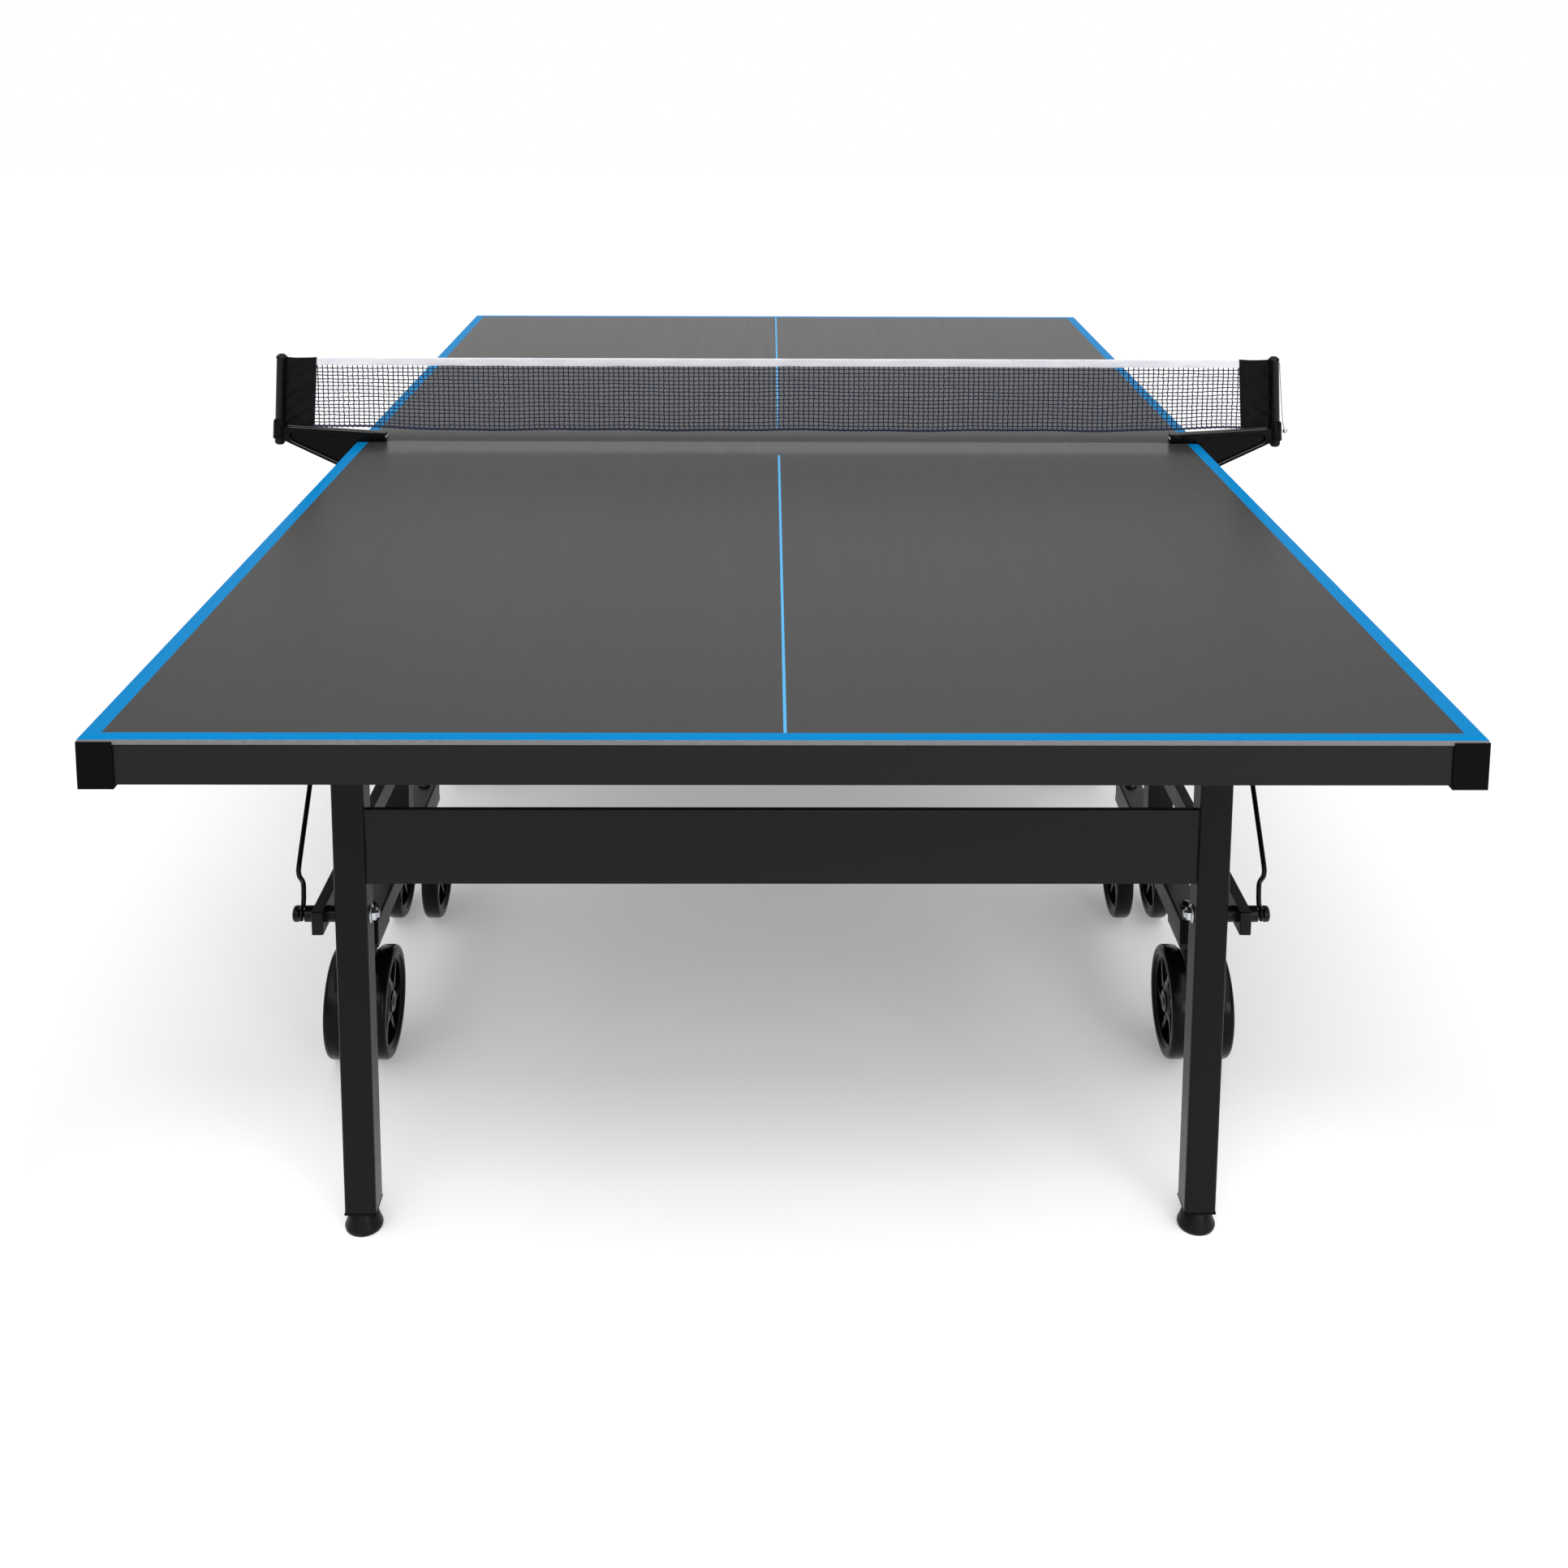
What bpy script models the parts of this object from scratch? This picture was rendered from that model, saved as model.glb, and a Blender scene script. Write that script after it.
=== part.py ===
"""Folding outdoor table tennis table: two halves on rolling trolleys, and a net set.

Metres, +Z up, origin on the floor under the middle of the net, +Y along the table. A half is
described by its distance in from the player's end, called "inset". The near half lies at
-Y and the far half at +Y. Each half folds as a parallelogram: the top and the link bars turn
on the trolley's uprights, and the legs hang from the top and stay upright.
"""

from math import atan2, cos, hypot, pi, radians, sin

import bmesh
import bpy
from mathutils import Euler, Matrix, Vector
from mathutils.geometry import convex_hull_2d

# ---- driving dimensions ----
LENGTH = 2.740
WIDTH = 1.525
HEIGHT = 0.760
PANEL = 0.006
SEAM = 0.006  # gap between the two halves
GAP = 0.0003  # gap between touching pieces
RUNNING = 0.0002  # radial clearance of a pin in its hole

APRON_BOTTOM = 0.708
APRON_SETBACK = 0.002
APRON_WALL = 0.002
APRON_FLANGE = 0.030
BRACE_INSETS = (0.610, 0.945)
BRACE_HALF_WIDTH = 0.010
BRACE_HEIGHTS = (0.7387, 0.7528)
RAIL_X = (0.557, 0.577)  # under-rails, which carry the pivots
RAIL_HEIGHTS = (0.7352, 0.7532)
PLATE_HEIGHTS = (0.748, 0.7525)  # plates that the outer lugs hang from
PLATE_X = 0.558
LUG_TOP = 0.7518
LUG_R = 0.0135
CAP_SIDE = 0.039
CAP_PROUD = 0.001
CAP_BOTTOM = 0.704
CAP_TOP = 0.7575

TUBE = 0.040
TUBE_WALL = 0.0015
TUBE_ROUNDING = 0.003
LEG_X = 0.532
LEG_TOP = 0.735
LEG_PLUG_BOTTOM = 0.028
FOOT_R = 0.024
FOOT_TOP = 0.0272
STUD_R = 0.004

PANEL_BAR_LOW = 0.472
PANEL_BAR_HIGH = 0.568
PANEL_BAR_SETBACK = 0.005  # behind the front faces of the legs
PANEL_BAR_DEPTH = 0.0085

UPRIGHT_X = 0.602
UPRIGHT_TOP = 0.690
RAIL_LOW = 0.195
RAIL_HIGH = 0.231
RAIL_NEAR = 0.612
RAIL_FAR = 1.109

LINK_X = 0.572
LINK_THICK = 0.014
LINK_HEIGHT = 0.030
LINK_OVERHANG = 0.025

WHEEL_R = 0.080
WHEEL_WIDTH = 0.028
WHEEL_PAIR_X = 0.6145
WHEEL_SPREAD = 0.0315  # from the middle of a pair to the middle of a wheel
WHEEL_INSETS = (0.656, 1.080)
AXLE_R = 0.006

PIN_R = 0.005
LEG_NUT_R = 0.0085
TOP_NUT_R = 0.008
LINK_NUT_R = 0.009
ROD_X = 0.596
ROD_R = 0.00275
HOOK_R = 0.0026
SLEEVE_R = 0.010
GROOVE = (0.5925, 0.5997)
BOLT_END = 0.608

# the plates and pins of the pivots, as ranges of X on either side
EAR = (0.5512, 0.5548)
EAR_CUT = (0.5505, 0.5560)
LEG_LUG = (0.556, 0.560)
LEG_PIN = (0.5425, 0.5580)
LEG_NUT = (0.5430, 0.5495)
CHEEK_IN = (0.610, 0.614)
CHEEK_OUT = (0.628, 0.632)
HEAD_PLATE = (0.6180, 0.6240)
TOP_PIN = (0.6045, 0.6375)
TOP_PIN_HEAD = (0.6015, 0.6085)
TOP_PIN_NUT = (0.6335, 0.6385)
LINK_PIN = (0.5580, 0.5830)
LINK_PIN_HEAD = (0.5560, 0.5625)
LINK_SPACER = (0.5800, 0.5829)
ROD_LUG = (0.583, 0.587)
ROD_COLLAR = (0.5780, 0.5810)
ROD_END = 0.5775

# pivots of the fold, as (inset, height)
TOP_PIVOT = (0.900, 0.715)  # top on the upright
LINK_PIVOT = (0.870, 0.425)  # link bar on the upright
BOLT = (0.260, 0.425)  # link bar on the leg
LEG_PIVOT = (BOLT[0] + TOP_PIVOT[0] - LINK_PIVOT[0], TOP_PIVOT[1])  # leg on the top
ROD_PIVOT = (0.425, 0.695)  # lock rod on the top

NET_TOP = 0.9145
NET_LOW = 0.7815
NET_END = 0.882
NET_THICK = 0.003
POST_FOOT = (0.9035, 0.765)  # X and Z of the foot of a net post's axis
POST_HEAD = (0.8945, 0.921)
POST_R = 0.0093
ARM_HALF_WIDTH = 0.009
SOCKET = (0.006, 0.036)  # the socket of a bracket, along the post's axis
SOCKET_R = 0.0125

ROUND_STEPS = 12
WHEEL_STEPS = 20

COLOURS = {
    "board": ((0.058, 0.060, 0.063), 0.0, 0.38),
    "powder_coat": ((0.016, 0.016, 0.017), 0.0, 0.42),
    "black_plastic": ((0.010, 0.010, 0.011), 0.0, 0.30),
    "rubber": ((0.012, 0.012, 0.012), 0.0, 0.60),
    "zinc": ((0.62, 0.62, 0.60), 1.0, 0.30),
    "netting": ((0.030, 0.036, 0.070), 0.0, 0.80),
}

parts = None
cutters = None


def fresh_scene():
    """Empties the scene and makes the two collections."""
    global parts, cutters
    for obj in list(bpy.data.objects):
        bpy.data.objects.remove(obj, do_unlink=True)
    parts = bpy.data.collections.new("table_tennis_table")
    cutters = bpy.data.collections.new("cutters")
    bpy.context.scene.collection.children.link(parts)
    bpy.context.scene.collection.children.link(cutters)


def material(name):
    """The named Principled material, made once."""
    found = bpy.data.materials.get(name)
    if found:
        return found
    colour, metallic, roughness = COLOURS[name]
    made = bpy.data.materials.new(name)
    made.use_nodes = True
    shader = made.node_tree.nodes["Principled BSDF"]
    shader.inputs["Base Color"].default_value = (*colour, 1.0)
    shader.inputs["Metallic"].default_value = metallic
    shader.inputs["Roughness"].default_value = roughness
    made.diffuse_color = (*colour, 1.0)
    return made


# ---- shapes ----


def new_object(name, data):
    obj = bpy.data.objects.new(name, data)
    parts.objects.link(obj)
    return obj


def block(name, x, y, z):
    """A box between three ranges."""
    mesh = bpy.data.meshes.new(name)
    bm = bmesh.new()
    bmesh.ops.create_cube(bm, size=1.0)
    size = Vector((abs(x[1] - x[0]), abs(y[1] - y[0]), abs(z[1] - z[0])))
    centre = Vector((x[0] + x[1], y[0] + y[1], z[0] + z[1])) / 2
    bmesh.ops.scale(bm, vec=size, verts=bm.verts)
    bmesh.ops.translate(bm, vec=centre, verts=bm.verts)
    bm.to_mesh(mesh)
    bm.free()
    return new_object(name, mesh)


def circle(u, v, r, steps=ROUND_STEPS):
    turns = (2 * pi * i / steps for i in range(steps))
    return [(u + r * cos(a), v + r * sin(a)) for a in turns]


def hole_r(r):
    """The radius of a faceted hole in which a faceted pin of radius r can turn."""
    return r / cos(pi / ROUND_STEPS) + RUNNING


def rounded_box(u, v, r, steps=2):
    """The outline of a box between the ranges u and v, its corners rounded."""
    corners = (
        (u[1] - r, v[1] - r, 0),
        (u[0] + r, v[1] - r, 1),
        (u[0] + r, v[0] + r, 2),
        (u[1] - r, v[0] + r, 3),
    )
    points = []
    for cu, cv, quarter in corners:
        for i in range(steps + 1):
            a = (quarter + i / steps) * pi / 2
            points.append((cu + r * cos(a), cv + r * sin(a)))
    return points


def hull(*groups):
    """The convex outline round some groups of points."""
    points = [Vector(p) for group in groups for p in group]
    return [tuple(points[i]) for i in convex_hull_2d(points)]


def meshed(curve):
    """Turns a curve object into a welded mesh object in its place."""
    name = curve.name
    bpy.context.view_layer.update()
    graph = bpy.context.evaluated_depsgraph_get()
    mesh = bpy.data.meshes.new_from_object(curve.evaluated_get(graph))
    mesh.transform(curve.matrix_world)
    data = curve.data
    bpy.data.objects.remove(curve, do_unlink=True)
    bpy.data.curves.remove(data)
    bm = bmesh.new()
    bm.from_mesh(mesh)
    bmesh.ops.remove_doubles(bm, verts=bm.verts, dist=1e-6)
    bmesh.ops.recalc_face_normals(bm, faces=bm.faces)
    bm.to_mesh(mesh)
    bm.free()
    obj = new_object(name, mesh)
    mesh.name = name
    return obj


def profile(name, plane, loops, low, high):
    """An outline, its other loops holes, pulled along the plane's normal from low to high."""
    curve = bpy.data.curves.new(name, "CURVE")
    curve.dimensions = "2D"
    curve.fill_mode = "BOTH"
    curve.extrude = abs(high - low) / 2
    for loop in loops:
        spline = curve.splines.new("POLY")
        spline.points.add(len(loop) - 1)
        spline.use_cyclic_u = True
        for point, (u, v) in zip(spline.points, loop):
            point.co = (u, v, 0.0, 1.0)
    obj = new_object(name, curve)
    middle = (low + high) / 2
    if plane == "YZ":
        obj.rotation_euler = Euler((pi / 2, 0, pi / 2))
        obj.location = (middle, 0, 0)
    elif plane == "XZ":
        obj.rotation_euler = Euler((pi / 2, 0, 0))
        obj.location = (0, middle, 0)
    else:
        obj.location = (0, 0, middle)
    return meshed(obj)


def wire(name, points, r, resolution=1):
    """A round wire along some points."""
    curve = bpy.data.curves.new(name, "CURVE")
    curve.dimensions = "3D"
    curve.fill_mode = "FULL"
    curve.bevel_depth = r
    curve.bevel_resolution = resolution
    curve.use_fill_caps = True
    spline = curve.splines.new("POLY")
    spline.points.add(len(points) - 1)
    for point, place in zip(spline.points, points):
        point.co = (*place, 1.0)
    return meshed(new_object(name, curve))


def turned(name, outline, steps=ROUND_STEPS):
    """A turned solid: outline runs down its outer side as (radius, height), on the Z axis."""
    mesh = bpy.data.meshes.new(name)
    bm = bmesh.new()
    verts = [bm.verts.new((r, 0.0, z)) for r, z in outline]
    for a, b in zip(verts, verts[1:]):
        bm.edges.new((a, b))
    bm.to_mesh(mesh)
    bm.free()
    obj = new_object(name, mesh)
    screw = obj.modifiers.new("turn", "SCREW")
    screw.steps = steps
    screw.render_steps = steps
    screw.use_merge_vertices = True
    screw.merge_threshold = 1e-5
    return obj


def turned_along_x(name, outline, x, y, z, steps=ROUND_STEPS):
    """A turned solid whose outline's heights run along +X from the point (x, y, z)."""
    obj = turned(name, outline, steps)
    obj.rotation_euler = Euler((0, pi / 2, 0))
    obj.location = (x, y, z)
    return obj


def combined(target, other, operation):
    """Adds an exact Boolean to target, and puts the other object with the cutters."""
    boolean = target.modifiers.new(other.name, "BOOLEAN")
    boolean.operation = operation
    boolean.object = other
    boolean.solver = "EXACT"
    parts.objects.unlink(other)
    cutters.objects.link(other)
    other.hide_render = True
    other.display_type = "WIRE"
    return target


def join(target, *others):
    for other in others:
        combined(target, other, "UNION")
    return target


def cut(target, *others):
    for other in others:
        combined(target, other, "DIFFERENCE")
    return target


def rod(name, x, y, z, r, steps=ROUND_STEPS):
    """A pin or a drill along X between the range x."""
    half = (x[1] - x[0]) / 2
    ends = [(0, half), (r, half), (r, -half), (0, -half)]
    return turned_along_x(name, ends, (x[0] + x[1]) / 2, y, z, steps)


def ordered(a, b):
    return (min(a, b), max(a, b))


# ---- bodies ----

AXES = {}


def axis_empty(name, place, parent=None):
    """An empty on a joint's axis, which the body's pieces hang on."""
    empty = bpy.data.objects.new(f"axis_of_{name}", None)
    empty.empty_display_size = 0.05
    parts.objects.link(empty)
    base = Vector((0, 0, 0))
    if parent:
        empty.parent = AXES[parent][0]
        base = AXES[parent][1]
    empty.location = Vector(place) - base
    AXES[name] = (empty, Vector(place))


def finish(obj, material_name, body, smooth=0.6):
    """Gives a piece its material and shading, and hangs it on its body's empty."""
    obj.data.materials.append(material(material_name))
    obj.data.shade_smooth()
    obj.data.set_sharp_from_angle(angle=smooth)
    empty, place = AXES[body]
    obj.parent = empty
    obj.matrix_parent_inverse = Matrix.Translation(-place)
    return obj


class Half:
    """One half of the table. Turns insets into Y, and signs into the names of its sides."""

    def __init__(self, name, end):
        self.name = name
        self.end = end  # -1 for the near half, +1 for the far half

    def y(self, inset):
        return self.end * (LENGTH / 2 - inset)

    def ys(self, a, b):
        return ordered(self.y(a), self.y(b))

    def at(self, pivot, x=0.0):
        return (x, self.y(pivot[0]), pivot[1])

    def round(self, pivot, r, steps=ROUND_STEPS):
        return circle(self.y(pivot[0]), pivot[1], r, steps)

    def node(self, *words):
        return "_".join((self.name, *words))


SIDES = (("left", -1), ("right", 1))
INNER_INSET = (LENGTH - SEAM) / 2  # how far in the half reaches


def xs(side, a, b):
    return ordered(side * a, side * b)


def body_axes(half):
    """The empties of one half, in the order in which they carry each other."""
    n = half.node
    root = n("trolley")
    carrier = "near_trolley" if half.end > 0 else None
    axis_empty(root, (0, half.y(LINK_PIVOT[0]), 0), carrier)
    axis_empty(n("top"), half.at(TOP_PIVOT), root)
    axis_empty(n("legs"), half.at(LEG_PIVOT), n("top"))
    axis_empty(n("links"), half.at(LINK_PIVOT), root)
    for word, side in SIDES:
        axis_empty(n("lock_rod", word), half.at(ROD_PIVOT, side * ROD_X), n("top"))
        axis_empty(n("foot", word), (side * LEG_X, half.y(BOLT[0]), 0), n("legs"))
        for place, inset in zip(("outer", "inner"), WHEEL_INSETS):
            centre = (side * WHEEL_PAIR_X, half.y(inset), WHEEL_R)
            axis_empty(n("wheels", place, word), centre, root)


# ---- the top ----


def tabletop(half):
    side = (-WIDTH / 2, WIDTH / 2)
    name = half.node("tabletop_panel")
    panel = block(name, side, half.ys(0, INNER_INSET), (HEIGHT - PANEL, HEIGHT))
    finish(panel, "board", half.node("top"))


def channel(name, plane, u, v, wall, low, high):
    """A folded channel, open below, along the plane's normal."""
    outline = [
        (u[0], v[0]),
        (u[0], v[1]),
        (u[1], v[1]),
        (u[1], v[0]),
        (u[1] - wall, v[0]),
        (u[1] - wall, v[1] - wall),
        (u[0] + wall, v[1] - wall),
        (u[0] + wall, v[0]),
    ]
    return profile(name, plane, [outline], low, high)


def lug(half, name, pivot, x, r=LUG_R, reach=0.020, hole=None):
    """A plate that hangs under the top, rounded about its pivot, with or without a hole."""
    y, z = half.y(pivot[0]), LUG_TOP
    outline = hull(half.round(pivot, r), [(y - reach, z), (y + reach, z)])
    loops = [outline]
    if hole:
        loops.append(half.round(pivot, hole))
    return profile(name, "YZ", loops, *x)


def pivot_plate(name, half, pivot, side, reach_x, half_length):
    """A flat plate out from the under-rail, from which lugs hang."""
    y = half.y(pivot[0])
    width = (y - half_length, y + half_length)
    return block(name, xs(side, PLATE_X, reach_x), width, PLATE_HEIGHTS)


def apron_frame(half):
    """The welded frame under the panel: edge profile, two rails, braces and pivot lugs."""
    n = half.node
    top = HEIGHT - PANEL - GAP
    outer = WIDTH / 2 - APRON_SETBACK
    near, far = APRON_SETBACK, INNER_INSET - APRON_SETBACK
    frame = block(n("apron_frame"), (-outer, outer), half.ys(near, far), (APRON_BOTTOM, top))
    wall, flange = APRON_WALL, APRON_FLANGE
    under = block(
        n("apron_hollow"),
        (wall - outer, outer - wall),
        half.ys(near + wall, far - wall),
        (APRON_BOTTOM - 0.01, top - wall),
    )
    window = block(
        n("apron_window"),
        (flange - outer, outer - flange),
        half.ys(near + flange, far - flange),
        (APRON_BOTTOM - 0.02, top + 0.01),
    )
    cut(frame, under, window)
    for inset in BRACE_INSETS:
        y = half.y(inset)
        width = (y - BRACE_HALF_WIDTH, y + BRACE_HALF_WIDTH)
        ends = (-outer + wall / 2, outer - wall / 2)
        join(frame, channel(n("brace", str(inset)), "YZ", width, BRACE_HEIGHTS, wall, *ends))
    for word, side in SIDES:
        ends = half.ys(near + wall / 2, far - wall / 2)
        rail = channel(n("rail", word), "XZ", xs(side, *RAIL_X), RAIL_HEIGHTS, wall, *ends)
        hole, wire_hole = hole_r(PIN_R), hole_r(ROD_R)
        leg_y, leg_z = half.at(LEG_PIVOT)[1:]
        join(
            frame,
            rail,
            lug(half, n("leg_lug", word), LEG_PIVOT, xs(side, *LEG_LUG)),
            rod(n("leg_pin", word), xs(side, *LEG_PIN), leg_y, leg_z, PIN_R),
            rod(n("leg_nut", word), xs(side, *LEG_NUT), leg_y, leg_z, LEG_NUT_R),
            pivot_plate(n("saddle", word), half, TOP_PIVOT, side, CHEEK_OUT[1] + 0.002, 0.022),
            lug(half, n("cheek_a", word), TOP_PIVOT, xs(side, *CHEEK_IN), hole=hole),
            lug(half, n("cheek_b", word), TOP_PIVOT, xs(side, *CHEEK_OUT), hole=hole),
            pivot_plate(n("perch", word), half, ROD_PIVOT, side, ROD_LUG[1] + 0.002, 0.016),
            lug(half, n("rod_lug", word), ROD_PIVOT, xs(side, *ROD_LUG), 0.010, 0.014, wire_hole),
        )
    finish(frame, "powder_coat", n("top"), 0.4)


def corner_caps(half):
    """The caps round the two corners at the player's end."""
    for word, side in SIDES:
        name = half.node("corner_cap", word)
        out = WIDTH / 2 + CAP_PROUD
        inner = out - CAP_SIDE
        seat = WIDTH / 2 - APRON_SETBACK + GAP
        front = APRON_SETBACK - GAP
        depth = half.ys(-CAP_PROUD, CAP_SIDE)
        cap = block(name, xs(side, inner, out), depth, (CAP_BOTTOM, CAP_TOP))
        room = block(
            name + "_room",
            xs(side, 0.5, seat),
            half.ys(front, 0.2),
            (APRON_BOTTOM - GAP, CAP_TOP + 0.01),
        )
        board = block(
            name + "_board",
            xs(side, 0.5, WIDTH / 2 + GAP),
            half.ys(-GAP, 0.2),
            (HEIGHT - PANEL - GAP, CAP_TOP + 0.01),
        )
        finish(cut(cap, room, board), "black_plastic", half.node("top"))


# ---- the leg frame ----


def upright_tube(name, x, y, z, plug=0.0):
    """A square tube along Z about (x, y), open at the top, and at the bottom if plug is 0."""
    r, h, w = TUBE_ROUNDING, TUBE / 2, TUBE / 2 - TUBE_WALL
    outer = rounded_box((x - h, x + h), (y - h, y + h), r)
    bore = rounded_box((x - w, x + w), (y - w, y + w), r - TUBE_WALL, 1)
    if not plug:
        return profile(name, "XY", [outer, bore], *z)
    tube = profile(name, "XY", [outer], *z)
    return cut(tube, profile(name + "_bore", "XY", [bore], z[0] + plug, z[1] + 0.01))


def leg_frame(half):
    n = half.node
    y_leg, z_bolt = half.y(BOLT[0]), BOLT[1]
    for word, side in SIDES:
        x = side * LEG_X
        leg = upright_tube(n("leg", word), x, y_leg, (LEG_PLUG_BOTTOM, LEG_TOP), 0.012)
        ear_back = half.y(BOLT[0] - 0.012)
        ear_shape = hull(half.round(LEG_PIVOT, LUG_R), [(ear_back, 0.690), (ear_back, 0.728)])
        ear = profile(n("ear", word), "YZ", [ear_shape], *xs(side, *EAR))
        join(leg, ear)
        hole = hole_r(PIN_R)
        y_pivot = half.y(LEG_PIVOT[0])
        stud_hole = profile(
            n("stud_hole", word), "XY", [circle(x, y_leg, hole_r(STUD_R))], 0.0, 0.1
        )
        cut(
            leg,
            rod(n("ear_hole", word), xs(side, *EAR_CUT), y_pivot, LEG_PIVOT[1], hole),
            rod(n("bolt_hole", word), xs(side, 0.5, 0.6), y_leg, z_bolt, hole),
            stud_hole,
        )
        finish(leg, "powder_coat", n("legs"))
        pivot_bolt(half, word, side)
        foot(half, word, side)
    front = BOLT[0] - TUBE / 2 + PANEL_BAR_SETBACK
    inner = LEG_X - TUBE / 2 - GAP
    fold = 0.002
    back = front + PANEL_BAR_DEPTH
    low, high = PANEL_BAR_LOW, PANEL_BAR_HIGH
    section = [
        (front, low),
        (front, high),
        (back, high),
        (back, high - fold),
        (front + fold, high - fold),
        (front + fold, low + fold),
        (back, low + fold),
        (back, low),
    ]
    outline = [(half.y(inset), z) for inset, z in section]
    finish(profile(n("cross_panel"), "YZ", [outline], -inner, inner), "powder_coat", n("legs"))


def pivot_bolt(half, word, side):
    """The bolt through leg and link bar: nut, shank, sleeve, groove and domed end."""
    leg_in, leg_out = LEG_X - TUBE / 2, LEG_X + TUBE / 2
    nut_in, nut_out = leg_in - 0.0115, leg_in - GAP
    sections = [
        (0.0, nut_in),
        (0.0070, nut_in),
        (0.0070, nut_in + 0.0035),
        (0.0090, nut_in + 0.0040),
        (0.0090, nut_out - 0.0025),
        (0.0112, nut_out - 0.0020),
        (0.0112, nut_out),
        (PIN_R, nut_out),
        (PIN_R, leg_out + GAP),
        (SLEEVE_R, leg_out + GAP),
        (SLEEVE_R, GROOVE[0]),
        (PIN_R, GROOVE[0]),
        (PIN_R, GROOVE[1]),
        (SLEEVE_R, GROOVE[1]),
        (SLEEVE_R, BOLT_END - 0.0040),
        (SLEEVE_R * 0.75, BOLT_END - 0.0012),
        (0.0, BOLT_END),
    ]
    if side < 0:
        outline = [(r, -x) for r, x in sections]
    else:
        outline = [(r, x) for r, x in reversed(sections)]
    bolt = turned_along_x(half.node("pivot_bolt", word), outline, 0, *half.at(BOLT)[1:])
    finish(bolt, "black_plastic", half.node("legs"))


def foot(half, word, side):
    """A bell-shaped levelling foot with its stud."""
    outline = [
        (0, 0.060),
        (STUD_R, 0.060),
        (STUD_R, FOOT_TOP),
        (0.0160, FOOT_TOP),
        (0.0180, 0.0225),
        (0.0215, 0.0120),
        (FOOT_R, 0.0055),
        (0.0232, 0.0010),
        (0.0222, 0),
        (0, 0),
    ]
    name = half.node("foot", word)
    bell = turned(name, outline, 16)
    bell.location = (side * LEG_X, half.y(BOLT[0]), 0)
    finish(bell, "rubber", name)


# ---- the folding gear ----


def link_bar(half, word, side):
    """The lower bar of the parallelogram, a flat tube with open ends."""
    x = xs(side, LINK_X - LINK_THICK / 2, LINK_X + LINK_THICK / 2)
    z = BOLT[1]
    name = half.node("link_bar", word)
    span = half.ys(BOLT[0] - LINK_OVERHANG, LINK_PIVOT[0] + LINK_OVERHANG - 0.007)
    bar = block(name, x, span, (z - LINK_HEIGHT / 2, z + LINK_HEIGHT / 2))
    w = TUBE_WALL
    bore = block(
        name + "_bore",
        (x[0] + w, x[1] - w),
        (span[0] - 0.01, span[1] + 0.01),
        (z - LINK_HEIGHT / 2 + w, z + LINK_HEIGHT / 2 - w),
    )
    wide = (x[0] - 0.01, x[1] + 0.01)
    bolt_hole = rod(name + "_bolt_hole", wide, *half.at(BOLT)[1:], hole_r(SLEEVE_R))
    pin_hole = rod(name + "_pin_hole", wide, *half.at(LINK_PIVOT)[1:], hole_r(PIN_R))
    finish(cut(bar, bore, bolt_hole, pin_hole), "powder_coat", half.node("links"))


HOOK_REACH = 0.00805  # from the bolt's axis to the middle of the hook's wire
ROD_ROUTE = (  # (inset, height) of the wire below its pivot
    (0.2540, 0.4970),
    (0.2478, 0.4885),
    (0.2500, 0.4800),
    (0.2660, 0.4640),
    (0.2685, 0.4570),
    (0.2668, 0.4405),
    (0.2640, 0.4325),
)


def lock_rod(half, word, side):
    """The wire strut that keeps the half from folding: a hook over the bolt's groove."""
    n = half.node
    drop = Vector((ROD_ROUTE[0][0] - ROD_PIVOT[0], ROD_ROUTE[0][1] - ROD_PIVOT[1]))
    turn = Vector(ROD_PIVOT) + drop.normalized() * 0.004
    points = [
        half.at(ROD_PIVOT, side * ROD_END),
        half.at(ROD_PIVOT, side * (ROD_X - 0.004)),
        half.at(turn, side * (ROD_X - 0.0004)),
        half.at(Vector(ROD_PIVOT) + drop * 0.03, side * ROD_X),
    ]
    points += [half.at(place, side * ROD_X) for place in ROD_ROUTE]
    strut = wire(n("lock_rod", word), points, ROD_R)
    hook_points = []
    for degrees in range(62, 216, 17):
        a = radians(degrees)
        place = (BOLT[0] + HOOK_REACH * cos(a), BOLT[1] + HOOK_REACH * sin(a))
        hook_points.append(half.at(place, side * ROD_X))
    hook = wire(n("hook", word), hook_points, HOOK_R)
    collar = rod(n("rod_collar", word), xs(side, *ROD_COLLAR), *half.at(ROD_PIVOT)[1:], 0.006)
    finish(join(strut, hook, collar), "powder_coat", n("lock_rod", word))


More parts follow.
